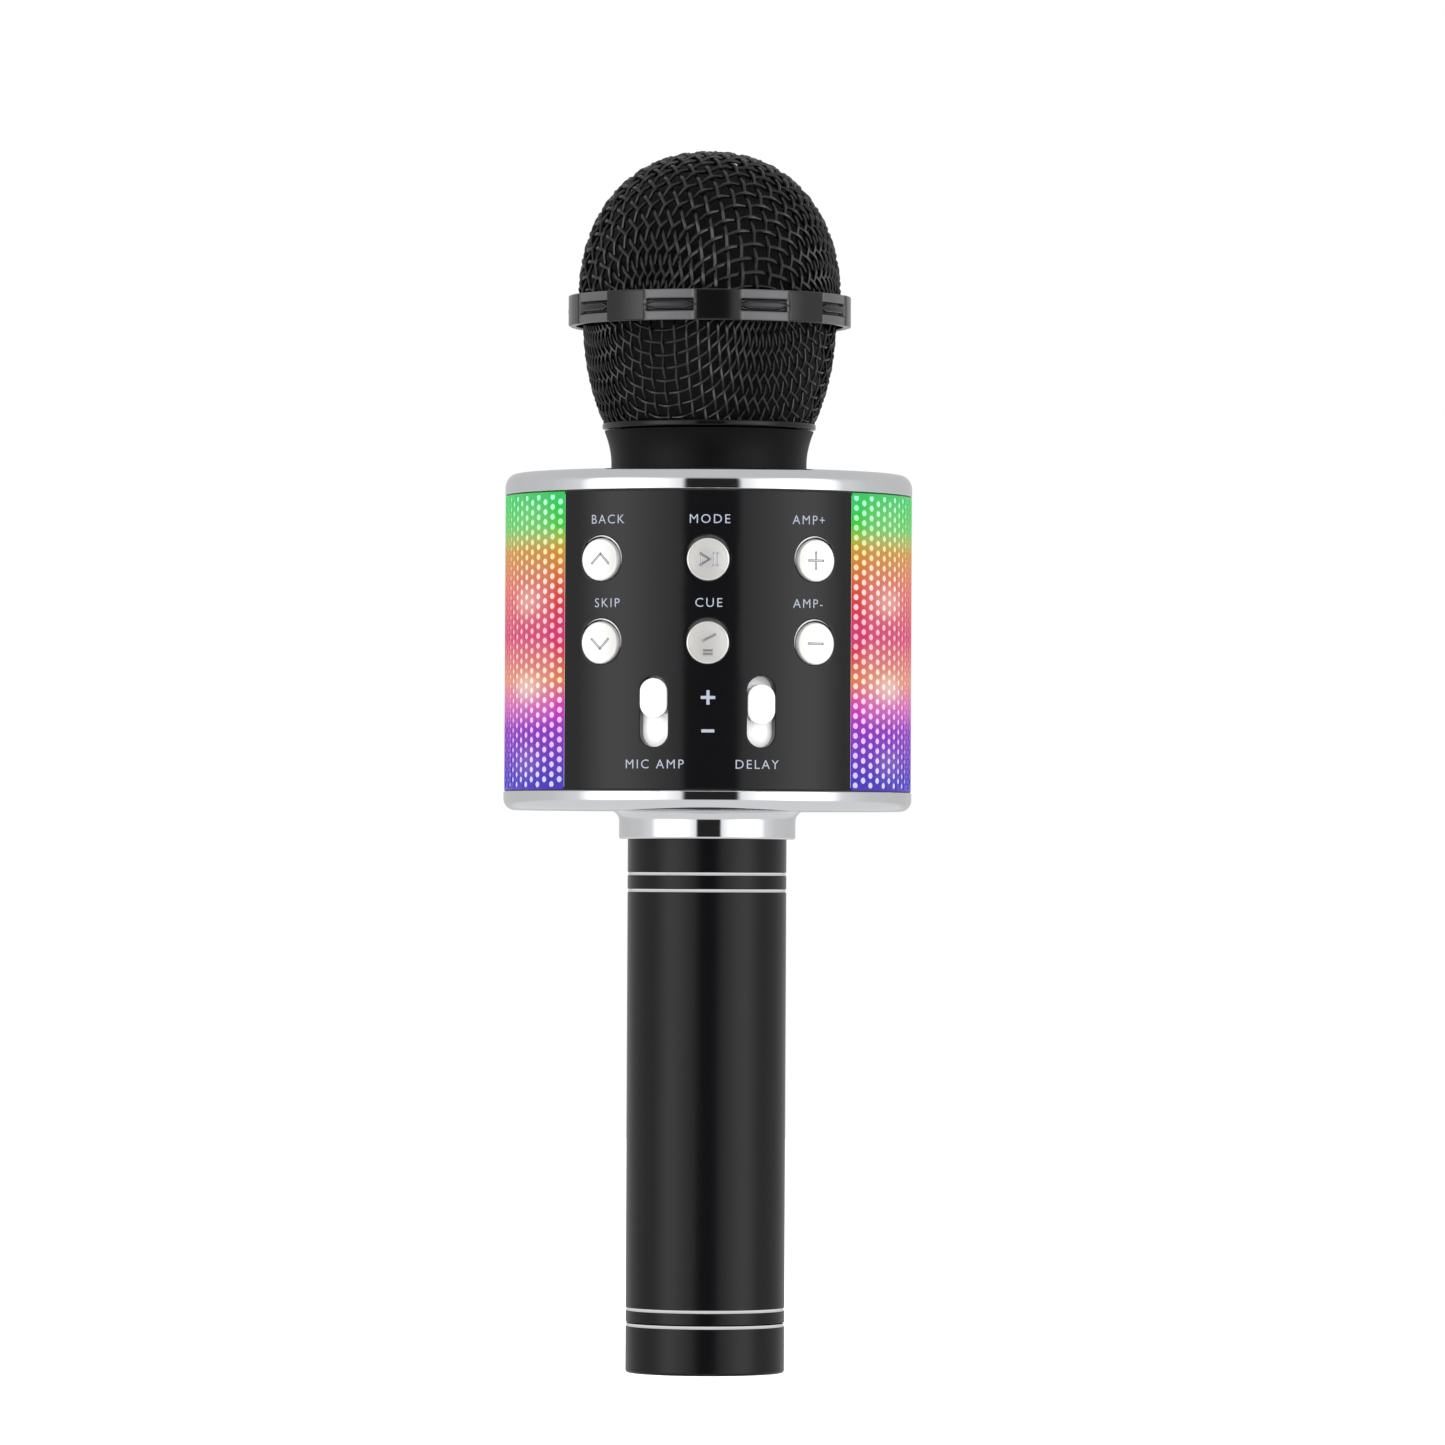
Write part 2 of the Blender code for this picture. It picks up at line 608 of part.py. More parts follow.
def head_band(finish):
    """The clamp band: two grooves all round, bridged by plain full-height lugs."""
    inner = DOME_R + 0.4
    low, high, floor = BAND_LOW_Z, BAND_HIGH_Z, BAND_R - 0.7
    ridge = (low + high) / 2
    profile = [(floor, high), (floor, ridge + 1.0), (BAND_R, ridge + 0.7), (BAND_R, ridge - 0.7)]
    profile += [(floor, ridge - 1.0), (floor, low), (inner, low), (inner, high)]
    band = turned("grille_band", profile, finish["panel"])

    def lugs(bm):
        half = radians(9.7)
        for number in range(BAND_LUGS):
            middle = radians(BAND_LUG_ANGLE + number * 360 / BAND_LUGS)
            reach = [(BAND_R, middle - half), (BAND_R, middle), (BAND_R, middle + half)]
            reach += [(inner + 0.5, middle + half), (inner + 0.5, middle - half)]
            outline = [(r * sin(a), -r * cos(a)) for r, a in reach]
            add_prism(bm, outline, low + 0.1, high - 0.1)

    combine(band, "UNION", lugs)


def main():
    clear_scene()
    finish = finishes()
    handle(finish)
    battery(finish)
    trim_rings(finish)
    inner_frame(finish)
    loudspeaker(finish)
    lights(finish)
    control_panel(finish)
    circuit_boards(finish)
    push_buttons(finish)
    slide_controls(finish)
    sockets(finish)
    neck(finish)
    head(finish)


main()
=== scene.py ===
"""Toy karaoke microphone: woven wire head, lit barrel with its controls, and an enamelled handle.

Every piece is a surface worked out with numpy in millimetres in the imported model's frame, and written to its
mesh in metres. The front, with the controls, faces -Y; an azimuth is 0 there and grows towards +X.
"""

from math import cos, pi, radians, sin

import bmesh
import bpy
import numpy as np
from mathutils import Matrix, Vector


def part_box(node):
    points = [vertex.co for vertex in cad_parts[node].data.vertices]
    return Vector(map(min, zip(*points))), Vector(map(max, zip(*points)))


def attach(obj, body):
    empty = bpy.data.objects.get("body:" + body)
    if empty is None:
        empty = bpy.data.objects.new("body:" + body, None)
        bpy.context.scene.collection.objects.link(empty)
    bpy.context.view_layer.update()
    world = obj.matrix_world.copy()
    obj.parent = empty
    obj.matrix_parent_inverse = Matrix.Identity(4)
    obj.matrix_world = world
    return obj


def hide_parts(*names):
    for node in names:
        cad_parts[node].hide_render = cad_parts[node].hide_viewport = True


bl_info = {
    "name": "Toy Microphone",
    "version": (1, 0, 0),
    "blender": (4, 5, 0),
    "location": "3D View > Sidebar > Microphone",
    "description": "Builds a karaoke microphone's visible pieces round its packed mechanical frame",
    "category": "Add Mesh",
}

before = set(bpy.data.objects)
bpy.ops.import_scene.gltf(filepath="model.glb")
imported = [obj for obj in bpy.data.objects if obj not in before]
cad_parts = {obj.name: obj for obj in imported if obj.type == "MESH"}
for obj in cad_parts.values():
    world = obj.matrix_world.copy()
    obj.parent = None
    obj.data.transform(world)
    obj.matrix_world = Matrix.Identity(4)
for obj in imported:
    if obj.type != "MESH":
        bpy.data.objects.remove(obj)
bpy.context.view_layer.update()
MM = 0.001


def spans(node):
    """Lowest and highest corner of a CAD node, in millimetres."""
    low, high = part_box(node)
    return np.array(low) / MM, np.array(high) / MM


# Main sizes, in millimetres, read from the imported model.
HANDLE_R = spans("handle_tube")[1][0]
BARREL_R = spans("speaker_grille")[1][0]
BARREL_LOW, BARREL_HIGH = spans("speaker_grille")[0][2], spans("speaker_grille")[1][2]
RING_R = spans("bottom_ring")[1][0]
RING_TOP = spans("top_ring")[1][2]
NECK_TOP = spans("neck")[1][2]
LIP_R = spans("grille_socket")[1][0]
BAND_R = spans("grille_band")[1][0]
BAND_LOW, BAND_HIGH = spans("grille_band")[0][2], spans("grille_band")[1][2]
DOME_R = spans("grille_dome")[1][0]
DOME_TOP = spans("grille_dome")[1][2]

DOME_Z, DOME_POWER = 219.0, 2.2
BOWL_R, BOWL_Z, BOWL_REACH = 26.0, 215.0, 37.4
PANEL_HALF = 44.0  # degrees either side of the front
BUTTON_COLUMNS = {"left": -31.1, "middle": 0.0, "right": 31.1}
BUTTON_ROWS = {"upper": 165.0, "lower": 148.3}
BUTTON_DROP = 0.3  # a cap rests this much below the middle of its hole
BUTTON_HOLE_R = 4.65
SLOT_ANGLE, SLOT_Z = 15.0, 134.5
SLOT_WIDE, SLOT_LONG = 5.75, 14.3
KNOB_Z = {"left": 137.2, "right": 136.0}
LED_HEIGHTS = (174.0, 157.0, 139.5, 124.0)
PORT_HALF = 26.26  # degrees either side of the rear
PORT_LOW, PORT_HIGH = 120.6, 129.7
HANDLE_TOP, HANDLE_BORE_R = 119.0, 14.4
MATH, VECTOR = "ShaderNodeMath", "ShaderNodeVectorMath"


# --- Colour, nodes and finishes ---


def linear(colour):
    """sRGB hex to linear: c / 12.92 up to 0.04045, and ((c + 0.055) / 1.055) to the power 2.4 above it."""
    parts = [int(colour[i : i + 2], 16) / 255 for i in (1, 3, 5)]
    return tuple(c / 12.92 if c <= 0.04045 else ((c + 0.055) / 1.055) ** 2.4 for c in parts) + (1.0,)


def add_node(tree, kind, inputs=None, **settings):
    """Adds a node with its settings and its inputs: a socket is linked, and anything else is its value."""
    node = tree.nodes.new(kind)
    for name, value in settings.items():
        setattr(node, name, value)
    for key, value in (inputs or {}).items():
        if isinstance(value, bpy.types.NodeSocket):
            tree.links.new(value, node.inputs[key])
        else:
            node.inputs[key].default_value = value
    return node


def set_stops(node, stops):
    """Gives a colour ramp its stops: pairs of a place from 0 to 1 and an RGBA colour."""
    ramp = node.color_ramp
    while len(ramp.elements) > 1:
        ramp.elements.remove(ramp.elements[-1])
    ramp.elements[0].position, ramp.elements[0].color = stops[0]
    for place, colour in stops[1:]:
        ramp.elements.new(place).color = colour


def empty_material(name):
    """A material with only its output, and that output."""
    made = bpy.data.materials.new(name)
    made.use_nodes = True
    made.node_tree.nodes.clear()
    return made, made.node_tree, made.node_tree.nodes.new("ShaderNodeOutputMaterial")


# Each finish: colour, roughness, metallic, then the size and the depth in millimetres of its grain, how much
# its roughness and its colour vary, and further shader values.
FINISHES = {
    # Baked black enamel on aluminium tube: a soft gloss with a faint orange peel.
    "black_enamel": ("#060608", 0.26, 0.0, 1.2, 0.003, 0.03, 0.05, {"IOR": 1.335}),
    # Moulded ABS in black with a high polish: nearly a mirror, and the dark card shows sharply.
    "panel_black": ("#0c0c0e", 0.12, 0.0, 1.6, 0.001, 0.02, 0.04, {"IOR": 1.36}),
    # Moulded ABS neck, satin from a spark-eroded tool.
    "neck_black": ("#070708", 0.42, 0.0, 0.25, 0.004, 0.04, 0.08, {"IOR": 1.24}),
    # Painted ABS band, glossier on its raised edges.
    "band_black": ("#0b0b0d", 0.17, 0.0, 0.5, 0.003, 0.04, 0.08, {"IOR": 1.5}),
    # Steel wire dipped in black enamel: thick, glossy and slightly lumpy.
    "black_wire": ("#040405", 0.24, 0.0, 0.35, 0.012, 0.06, 0.15, {"IOR": 1.6}),
    # Chromium plate on ABS: bright, faintly cool, with the slight ripple of the moulding under it.
    "chrome": ("#e6e7ea", 0.06, 1.0, 3.0, 0.002, 0.02, 0.02, {}),
    # Diamond-cut aluminium: bright, with fine turning marks.
    "bright_cut": ("#f4f4f5", 0.16, 1.0, 0.15, 0.003, 0.05, 0.03, {}),
    # Silver-sprayed ABS for the slide knobs and their track: a pale flake under a clear coat.
    "silver_spray": ("#fafbfb", 0.3, 0.0, 0.08, 0.002, 0.06, 0.02, {"Coat Weight": 0.3, "Coat Roughness": 0.12}),
    # Screen-printed ink: flat, cool grey, a little starved at its edges.
    "legend_ink": ("#8d95a2", 0.55, 0.0, 0.2, 0.001, 0.05, 0.22, {}),
    # Unfilled black ABS of the frame, straight from the tool.
    "frame_plastic": ("#1b1b1d", 0.5, 0.0, 0.4, 0.01, 0.05, 0.1, {"IOR": 1.53}),
    # Green solder mask over glass weave.
    "circuit_board": ("#14502c", 0.35, 0.0, 0.5, 0.01, 0.06, 0.18, {"Coat Weight": 0.5, "Coat Roughness": 0.1}),
    # Polyimide flex: amber film over copper.
    "flex_circuit": ("#8c5a1c", 0.3, 0.0, 0.8, 0.004, 0.05, 0.1, {"Coat Weight": 0.3}),
    # Nickel-plated pressed steel.
    "steel": ("#b9babd", 0.28, 1.0, 0.3, 0.004, 0.08, 0.06, {}),
    # Sintered ferrite: matt charcoal with a granular skin.
    "magnet": ("#2a2a2c", 0.7, 0.0, 0.3, 0.03, 0.06, 0.15, {}),
    # Pressed paper pulp: fibrous, matt, dark.
    "cone_paper": ("#1f1d1b", 0.85, 0.0, 0.5, 0.05, 0.05, 0.3, {"Sheen Weight": 0.3}),
    # Moulded rubber: matt, with a little sheen.
    "rubber": ("#101011", 0.7, 0.0, 0.3, 0.015, 0.06, 0.1, {"Sheen Weight": 0.2}),
    # Open-cell polyurethane foam: pitted and nearly black.
    "foam": ("#030303", 0.95, 0.0, 0.9, 0.35, 0.03, 0.35, {"Sheen Weight": 0.03}),
    # Heat-shrunk printed film round the cell.
    "cell_wrap": ("#2f6f9e", 0.3, 0.0, 1.5, 0.01, 0.05, 0.08, {"Coat Weight": 0.4}),
    # Opal polycarbonate strip that carries the lamps.
    "milky_plastic": ("#dfe2e4", 0.4, 0.0, 0.6, 0.003, 0.04, 0.04, {"Subsurface Weight": 0.1}),
}


MADE = {}


def surface(name):
    """A finish from the table: one noise varies the roughness, and a finer one the colour and the grain."""
    if name in MADE:
        return MADE[name]
    colour, roughness, metallic, grain, depth, spread, shade, extra = FINISHES[name]
    made, tree, out = empty_material(f"{name}_finish")
    MADE[name] = made
    base = np.array(linear(colour)[:3])
    spot = add_node(tree, "ShaderNodeTexCoord").outputs["Object"]
    wide = {"Vector": spot, "Scale": 0.12 / MM, "Detail": 4.0}
    cloud = add_node(tree, "ShaderNodeTexNoise", wide).outputs["Fac"]
    fine = {"Vector": spot, "Scale": 1 / (grain * MM), "Detail": 3.0, "Roughness": 0.6}
    grit = add_node(tree, "ShaderNodeTexNoise", fine).outputs["Fac"]
    tint = add_node(tree, "ShaderNodeMix", {"Factor": grit}, data_type="RGBA")
    tint.inputs["A"].default_value = (*np.clip(base * (1 - shade), 0, 1), 1)
    tint.inputs["B"].default_value = (*np.clip(base * (1 + shade), 0, 1), 1)
    low, high = max(roughness - spread, 0.02), roughness + spread
    gloss = add_node(tree, "ShaderNodeMapRange", {"Value": cloud, "To Min": low, "To Max": high})
    relief = add_node(tree, "ShaderNodeBump", {"Height": grit, "Distance": depth * MM, "Strength": 1.0})
    shader = add_node(
        tree,
        "ShaderNodeBsdfPrincipled",
        {
            "Base Color": tint.outputs["Result"],
            "Roughness": gloss.outputs["Result"],
            "Metallic": metallic,
            "Normal": relief.outputs["Normal"],
            **extra,
        },
    )
    tree.links.new(shader.outputs["BSDF"], out.inputs["Surface"])
    return made


# Glow of the light wrap: height in millimetres, the moulded web, then the light in its holes. It runs from green
# through amber, coral and rose to magenta and blue, and turns back to coral beside the brighter lamps.
GLOW = (
    (178, "#58c870", "#c0ffe0"),
    (172, "#74c870", "#c8fcc8"),
    (167, "#cc9858", "#fce8b0"),
    (160, "#dc8074", "#fce4e0"),
    (150, "#d05c7c", "#ffc4dc"),
    (141, "#e09a88", "#ffeccc"),
    (136, "#d074b4", "#ffd4f4"),
    (131, "#8c40b8", "#f0c8fc"),
    (121, "#4830b8", "#dcdcff"),
)


# How much each height on the wrap shows its lamps: the ones in the green and the blue barely do.
LAMP_SHARES = (
    *((124.0, 0.15), (131.0, 0.3), (139.5, 1.0), (147.0, 0.5)),
    *((157.0, 0.7), (165.0, 0.2), (174.0, 0.1)),
)
LAMP_TURN = radians(28)  # from the barrel's flank to a lamp, forwards and backwards


def glow(name, column, strength, core, gather):
    """Plastic lit from behind: a ramp up the barrel gives its colour, deeper next to the panel, and each lamp
    shows as a pale spot whose strength falls smoothly from its centre."""
    made, tree, out = empty_material(name)
    coords = add_node(tree, "ShaderNodeTexCoord").outputs["Object"]
    x, y, z = add_node(tree, "ShaderNodeSeparateXYZ", {0: coords}).outputs
    low, high = GLOW[-1][0], GLOW[0][0]
    rise = {"Value": z, "From Min": low * MM, "From Max": high * MM}
    climb = add_node(tree, "ShaderNodeMapRange", rise).outputs["Result"]
    ramp = add_node(tree, "ShaderNodeValToRGB", {"Fac": climb})
    set_stops(ramp, [((stop[0] - low) / (high - low), linear(stop[column])) for stop in reversed(GLOW)])
    # The turn is counted from the rear, and the flank's own turn is a quarter.
    side = add_node(tree, MATH, {0: x}, operation="ABSOLUTE").outputs[0]
    turn = add_node(tree, MATH, {0: side, 1: y}, operation="ARCTAN2").outputs[0]
    flank = add_node(tree, MATH, {0: turn, 1: pi / 2}, operation="SUBTRACT").outputs[0]
    flank = add_node(tree, MATH, {0: flank}, operation="ABSOLUTE").outputs[0]
    # Arc to the nearest column of lamps, narrowed to 0.6 because a spot is wider than it is tall.
    arc_share = 0.6 * BARREL_R * MM
    across = {0: flank, 1: arc_share, 2: -LAMP_TURN * arc_share}
    across = add_node(tree, MATH, across, operation="MULTIPLY_ADD").outputs[0]
    place = add_node(tree, "ShaderNodeCombineXYZ", {0: across, 1: z}).outputs[0]
    away = None
    for height in LED_HEIGHTS:
        lamp = {0: place, 1: (0, height * MM, 0)}
        gap = add_node(tree, VECTOR, lamp, operation="DISTANCE").outputs["Value"]
        away = gap if away is None else add_node(tree, MATH, {0: away, 1: gap}, operation="MINIMUM").outputs[0]
    fall = {"Value": away, "From Max": gather * MM, "To Min": core, "To Max": 0.0}
    spot = add_node(tree, "ShaderNodeMapRange", fall, interpolation_type="SMOOTHERSTEP").outputs["Result"]
    lit = add_node(tree, "ShaderNodeValToRGB", {"Fac": climb})
    set_stops(lit, [((height - low) / (high - low), (share, share, share, 1)) for height, share in LAMP_SHARES])
    spot = add_node(tree, MATH, {0: spot, 1: lit.outputs["Color"]}, operation="MULTIPLY").outputs[0]
    near = {"Value": turn, "From Min": radians(127), "From Max": radians(136), "To Min": 1.14, "To Max": 1.4}
    shy = add_node(tree, "ShaderNodeMapRange", near, interpolation_type="SMOOTHSTEP").outputs["Result"]
    deep = add_node(tree, "ShaderNodeHueSaturation", {"Saturation": shy, "Color": ramp.outputs["Color"]})
    blend = add_node(tree, "ShaderNodeMix", {"Factor": spot}, data_type="RGBA")
    tree.links.new(deep.outputs["Color"], blend.inputs["A"])
    blend.inputs["B"].default_value = linear("#fff3e4")
    shader = add_node(
        tree,
        "ShaderNodeBsdfPrincipled",
        {
            "Base Color": linear("#16161a"),
            "Roughness": 0.35,
            "Emission Color": blend.outputs["Result"],
            "Emission Strength": strength,
        },
    )
    tree.links.new(shader.outputs["BSDF"], out.inputs["Surface"])
    return made


def paint_bar_highlight(made):
    """Painted highlight: faces a third of a millimetre under the band's edge, its bars, are given a paler colour by
    distance from the axis, and the groove and the full radius stay dark.
    """
    tree = made.node_tree
    shader = next(node for node in tree.nodes if node.type == "BSDF_PRINCIPLED")
    spot = add_node(tree, "ShaderNodeTexCoord").outputs["Object"]
    level = add_node(tree, VECTOR, {0: spot, 1: (1, 1, 0)}, operation="MULTIPLY").outputs[0]
    radius = add_node(tree, VECTOR, {0: level}, operation="LENGTH").outputs["Value"]
    depth = {"Value": radius, "From Min": (BAND_R - 0.95) * MM, "From Max": BAND_R * MM}
    share = add_node(tree, "ShaderNodeMapRange", depth).outputs["Result"]
    ramp = add_node(tree, "ShaderNodeValToRGB", {"Fac": share})
    # The pale colour is a painted highlight on the bars; the dark one stands for the band's own black.
    pale, dark = linear("#4a4a4c"), linear("#09090a")
    set_stops(ramp, [(0.0, dark), (0.4, dark), (0.6, pale), (0.8, pale), (0.93, dark), (1.0, dark)])
    tree.links.new(ramp.outputs["Color"], shader.inputs["Base Color"])
    return made


def spun_silver():
    """Satin plate on the button caps, spun on a lathe: fine rings about the cap's centre, read from its own UV
    map, break the reflection into arcs."""
    made, tree, out = empty_material("spun_silver")
    flat = add_node(tree, "ShaderNodeUVMap", uv_map="face").outputs["UV"]
    # Rings 0.35 mm apart, coarse enough to show.
    rings = add_node(
        tree,
        "ShaderNodeTexWave",
        {"Vector": flat, "Scale": 0.9, "Distortion": 1.2, "Detail": 2.0, "Detail Scale": 1.5},
        wave_type="RINGS",
        rings_direction="SPHERICAL",
    ).outputs["Fac"]
    fine = add_node(tree, "ShaderNodeTexNoise", {"Vector": flat, "Scale": 3.0, "Detail": 3.0}).outputs["Fac"]
    tint = add_node(tree, "ShaderNodeMix", {"Factor": rings}, data_type="RGBA")
    tint.inputs["A"].default_value = linear("#cfcecb")
    tint.inputs["B"].default_value = linear("#e2e1de")
    gloss = add_node(tree, "ShaderNodeMapRange", {"Value": fine, "To Min": 0.24, "To Max": 0.42})
    relief = add_node(tree, "ShaderNodeBump", {"Height": rings, "Distance": 0.006 * MM, "Strength": 0.7})
    shader = add_node(
        tree,
        "ShaderNodeBsdfPrincipled",
        {
            "Base Color": tint.outputs["Result"],
            "Metallic": 0.7,
            "Roughness": gloss.outputs["Result"],
            "Normal": relief.outputs["Normal"],
        },
    )
    tree.links.new(shader.outputs["BSDF"], out.inputs["Surface"])
    return made


# --- Surfaces ---


def grid(rows, columns, round_columns=False):
    """Four-cornered faces of a grid of points numbered along its rows; the last column may join the first."""
    steps = columns if round_columns else columns - 1
    i, j = np.meshgrid(np.arange(rows - 1), np.arange(steps), indexing="ij")
    row, after, k = i * columns, (i + 1) * columns, (j + 1) % columns
    return np.stack([row + j, after + j, after + k, row + k], -1).reshape(-1, 4)


def soften(outline, radius, steps=4, closed=True):
    """Rounds every corner at once: a quadratic curve leaves each side at `radius` from the corner, or at 45 % of
    a side that is shorter, with the corner as its middle control point."""
    p = np.asarray(outline, float)
    back, ahead = np.roll(p, 1, -2) - p, np.roll(p, -1, -2) - p
    back_long, ahead_long = (np.linalg.norm(side, axis=-1, keepdims=True) + 1e-9 for side in (back, ahead))
    first = p + back / back_long * np.minimum(radius, 0.45 * back_long)
    last = p + ahead / ahead_long * np.minimum(radius, 0.45 * ahead_long)
    t = np.linspace(0, 1, steps + 1)[:, None]
    curve = (1 - t) ** 2 * first[..., None, :] + 2 * t * (1 - t) * p[..., None, :] + t**2 * last[..., None, :]
    if closed:
        return curve.reshape(*p.shape[:-2], -1, 2)
    return np.concatenate([p[:1], curve[1:-1].reshape(-1, 2), p[-1:]])


def swept(outline, azimuths, closed=True):
    """An outline of radius and height carried round +Z: x = r sin a, y = -r cos a. It may change with a."""
    line = np.broadcast_to(outline, (len(azimuths), *np.shape(outline)[-2:]))
    r, z = line[..., 0], line[..., 1]
    a = np.asarray(azimuths)[:, None]
    points = np.stack([r * np.sin(a), -r * np.cos(a), z], -1).reshape(-1, 3)
    return points, [grid(len(azimuths), line.shape[1], round_columns=closed)]


def lathe(outline, closed=True, steps=192):
    """An outline carried a full turn round +Z."""
    return swept(np.asarray(outline, float), np.linspace(0, 2 * pi, steps + 1), closed)


def arc(centre_r, centre_z, wide, tall, start, end, steps=8):
    """A quarter or other part of an ellipse: centre plus (wide cos q, tall sin q), q in degrees."""
    q = np.radians(np.linspace(start, end, steps + 1))
    return np.stack([centre_r + wide * np.cos(q), centre_z + tall * np.sin(q)], -1).tolist()


def reach(q, half_wide, half_tall):
    """Distance from a stadium's centre to its edge in direction q: the ray meets a straight side, or the end
    circle whose centre stands (longer half - shorter half) along the axis."""
    c, s = np.abs(np.cos(q)), np.abs(np.sin(q))
    if half_wide > half_tall:
        c, s, half_wide, half_tall = s, c, half_tall, half_wide
    straight = half_tall - half_wide
    side = half_wide / np.maximum(c, 1e-9)
    end = straight * s + np.sqrt(np.maximum(half_wide**2 - (straight * c) ** 2, 0))
    return np.where(side * s <= straight, side, end)


def pierced(u_lines, z_lines, holes):
    """A flat lattice with stadium-shaped holes. Round each hole a block of cells is left out, and three rings of
    faces go from the block's lattice points to the hole's edge along rays from its centre. A hole is its centre
    u and z, its half width and half height, and the room its block takes beyond them. Returns flat points and
    faces."""
    columns = len(z_lines)
    u, z = (side.reshape(-1) for side in np.meshgrid(u_lines, z_lines, indexing="ij"))
    points = [np.stack([u, z], -1)]
    cells = grid(len(u_lines), columns)
    kept = np.ones((len(u_lines) - 1, columns - 1), bool)
    rings = []
    count = len(u)
    for hole_u, hole_z, half_wide, half_tall, room in holes:
        i0, i1 = (int(np.argmin(np.abs(u_lines - hole_u - side * (half_wide + room)))) for side in (-1, 1))
        j0, j1 = (int(np.argmin(np.abs(z_lines - hole_z - side * (half_tall + room)))) for side in (-1, 1))
        kept[i0:i1, j0:j1] = False
        i = np.r_[i0:i1, np.full(j1 - j0, i1), i1:i0:-1, np.full(j1 - j0, i0)]
        j = np.r_[np.full(i1 - i0, j0), j0:j1, np.full(i1 - i0, j1), j1:j0:-1]
        rim = np.stack([u_lines[i], z_lines[j]], -1) - (hole_u, hole_z)
        q = np.arctan2(rim[:, 1], rim[:, 0])
        edge = reach(q, half_wide, half_tall)[:, None] * np.stack([np.cos(q), np.sin(q)], -1)
        share = np.array([0.0, 0.4, 0.75, 1.0])[:, None, None]
        block = (rim * (1 - share) + edge * share + (hole_u, hole_z)).reshape(-1, 2)
        points.append(block)
        rings.append(grid(len(share), len(rim), round_columns=True)[:, ::-1] + count)
        count += len(block)
    return np.concatenate(points), [cells[kept.reshape(-1)], *rings]


def on_barrel(flat, radius, azimuth=0.0):
    """Flat points (arc u, height) wrapped on a cylinder: azimuth = u / barrel radius + the middle's."""
    a = flat[:, 0] / BARREL_R + radians(azimuth)
    return np.stack([radius * np.sin(a), -radius * np.cos(a), flat[:, 1]], -1)


def stand(points, azimuth, radius, height):
    """Points set on the barrel: the centre, plus x to the right, plus y upwards, plus z outwards."""
    a = radians(azimuth)
    right, out = np.array([cos(a), sin(a), 0]), np.array([sin(a), -cos(a), 0])
    p = np.asarray(points, float)
    return p[:, :1] * right + p[:, 1:2] * (0, 0, 1) + p[:, 2:] * out + radius * out + (0, 0, height)


def tube(path, normals, radius, sides):
    """A wire: round each point, radius x (cos q normal + sin q side), the side being along x normal."""
    along = np.gradient(path, axis=0)
    side = np.cross(along, normals)
    side /= np.linalg.norm(side, axis=1, keepdims=True)
    up = np.cross(side, along)
    up /= np.linalg.norm(up, axis=1, keepdims=True)
    q = np.linspace(0, 2 * pi, sides, endpoint=False)[None, :, None]
    points = path[:, None] + radius * (np.cos(q) * up[:, None] + np.sin(q) * side[:, None])
    last = (len(path) - 1) * sides
    caps = np.stack([np.arange(sides)[::-1], last + np.arange(sides)])
    return points.reshape(-1, 3), [grid(len(path), sides, round_columns=True), caps]


def join(shapes):
    """Several shapes as one: their points in a row and their faces renumbered."""
    offsets = np.cumsum([0] + [len(points) for points, faces in shapes])
    faces = [block + offset for (points, blocks), offset in zip(shapes, offsets) for block in blocks]
    return np.concatenate([points for points, blocks in shapes]), faces


def stadium_block(half_wide, half_tall, sections, steps=48):
    """A solid on a stadium: one ring for each section, a pair of inset and height, and the first and last close
    on their centres."""
    q = np.linspace(0, 2 * pi, steps, endpoint=False)
    rings = []
    for inset, height in sections:
        edge = reach(q, half_wide - inset, half_tall - inset) if inset < half_wide else np.zeros(steps)
        rings.append(np.stack([edge * np.cos(q), edge * np.sin(q), np.full(steps, height)], -1))
    return np.concatenate(rings), [grid(len(sections), steps, round_columns=True)]


def piece(name, shape, finish, body, slot, nodes=(), sharp=35.0, wall=0.0, bevel=0.0, closed=True):
    """Makes one finished piece: points in millimetres and blocks of faces become a mesh whose doubles are joined;
    a closed shell's faces are turned outwards; a wall and a bevel are added where asked, and the normals are
    weighted by area so that flat faces stay flat."""
    points, blocks = shape
    mesh = bpy.data.meshes.new(name)
    faces = [face for block in blocks for face in block.tolist()]
    mesh.from_pydata((np.asarray(points) * MM).tolist(), [], faces)
    work = bmesh.new()
    work.from_mesh(mesh)
    bmesh.ops.remove_doubles(work, verts=work.verts, dist=0.002 * MM)
    if closed:
        bmesh.ops.recalc_face_normals(work, faces=work.faces)
    work.to_mesh(mesh)
    work.free()
    mesh.polygons.foreach_set("use_smooth", np.ones(len(mesh.polygons), bool))
    mesh.set_sharp_from_angle(angle=radians(sharp))
    mesh.materials.append(finish)
    thing = bpy.data.objects.new(name, mesh)
    bpy.context.scene.collection.objects.link(thing)
    if wall:
        solid = thing.modifiers.new("wall", "SOLIDIFY")
        solid.thickness, solid.offset, solid.use_even_offset = wall * MM, -1.0, False
    if bevel:
        edge = thing.modifiers.new("edge", "BEVEL")
        edge.width, edge.segments, edge.limit_method, edge.angle_limit = bevel * MM, 2, "ANGLE", radians(40)
    thing.modifiers.new("even", "WEIGHTED_NORMAL").keep_sharp = True
    made = bpy.data.meshes.new_from_object(thing.evaluated_get(bpy.context.evaluated_depsgraph_get()))
    thing.modifiers.clear()
    thing.data = made
    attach(thing, body)
    if nodes:
        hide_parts(*nodes)
    return thing


# --- The woven head ---


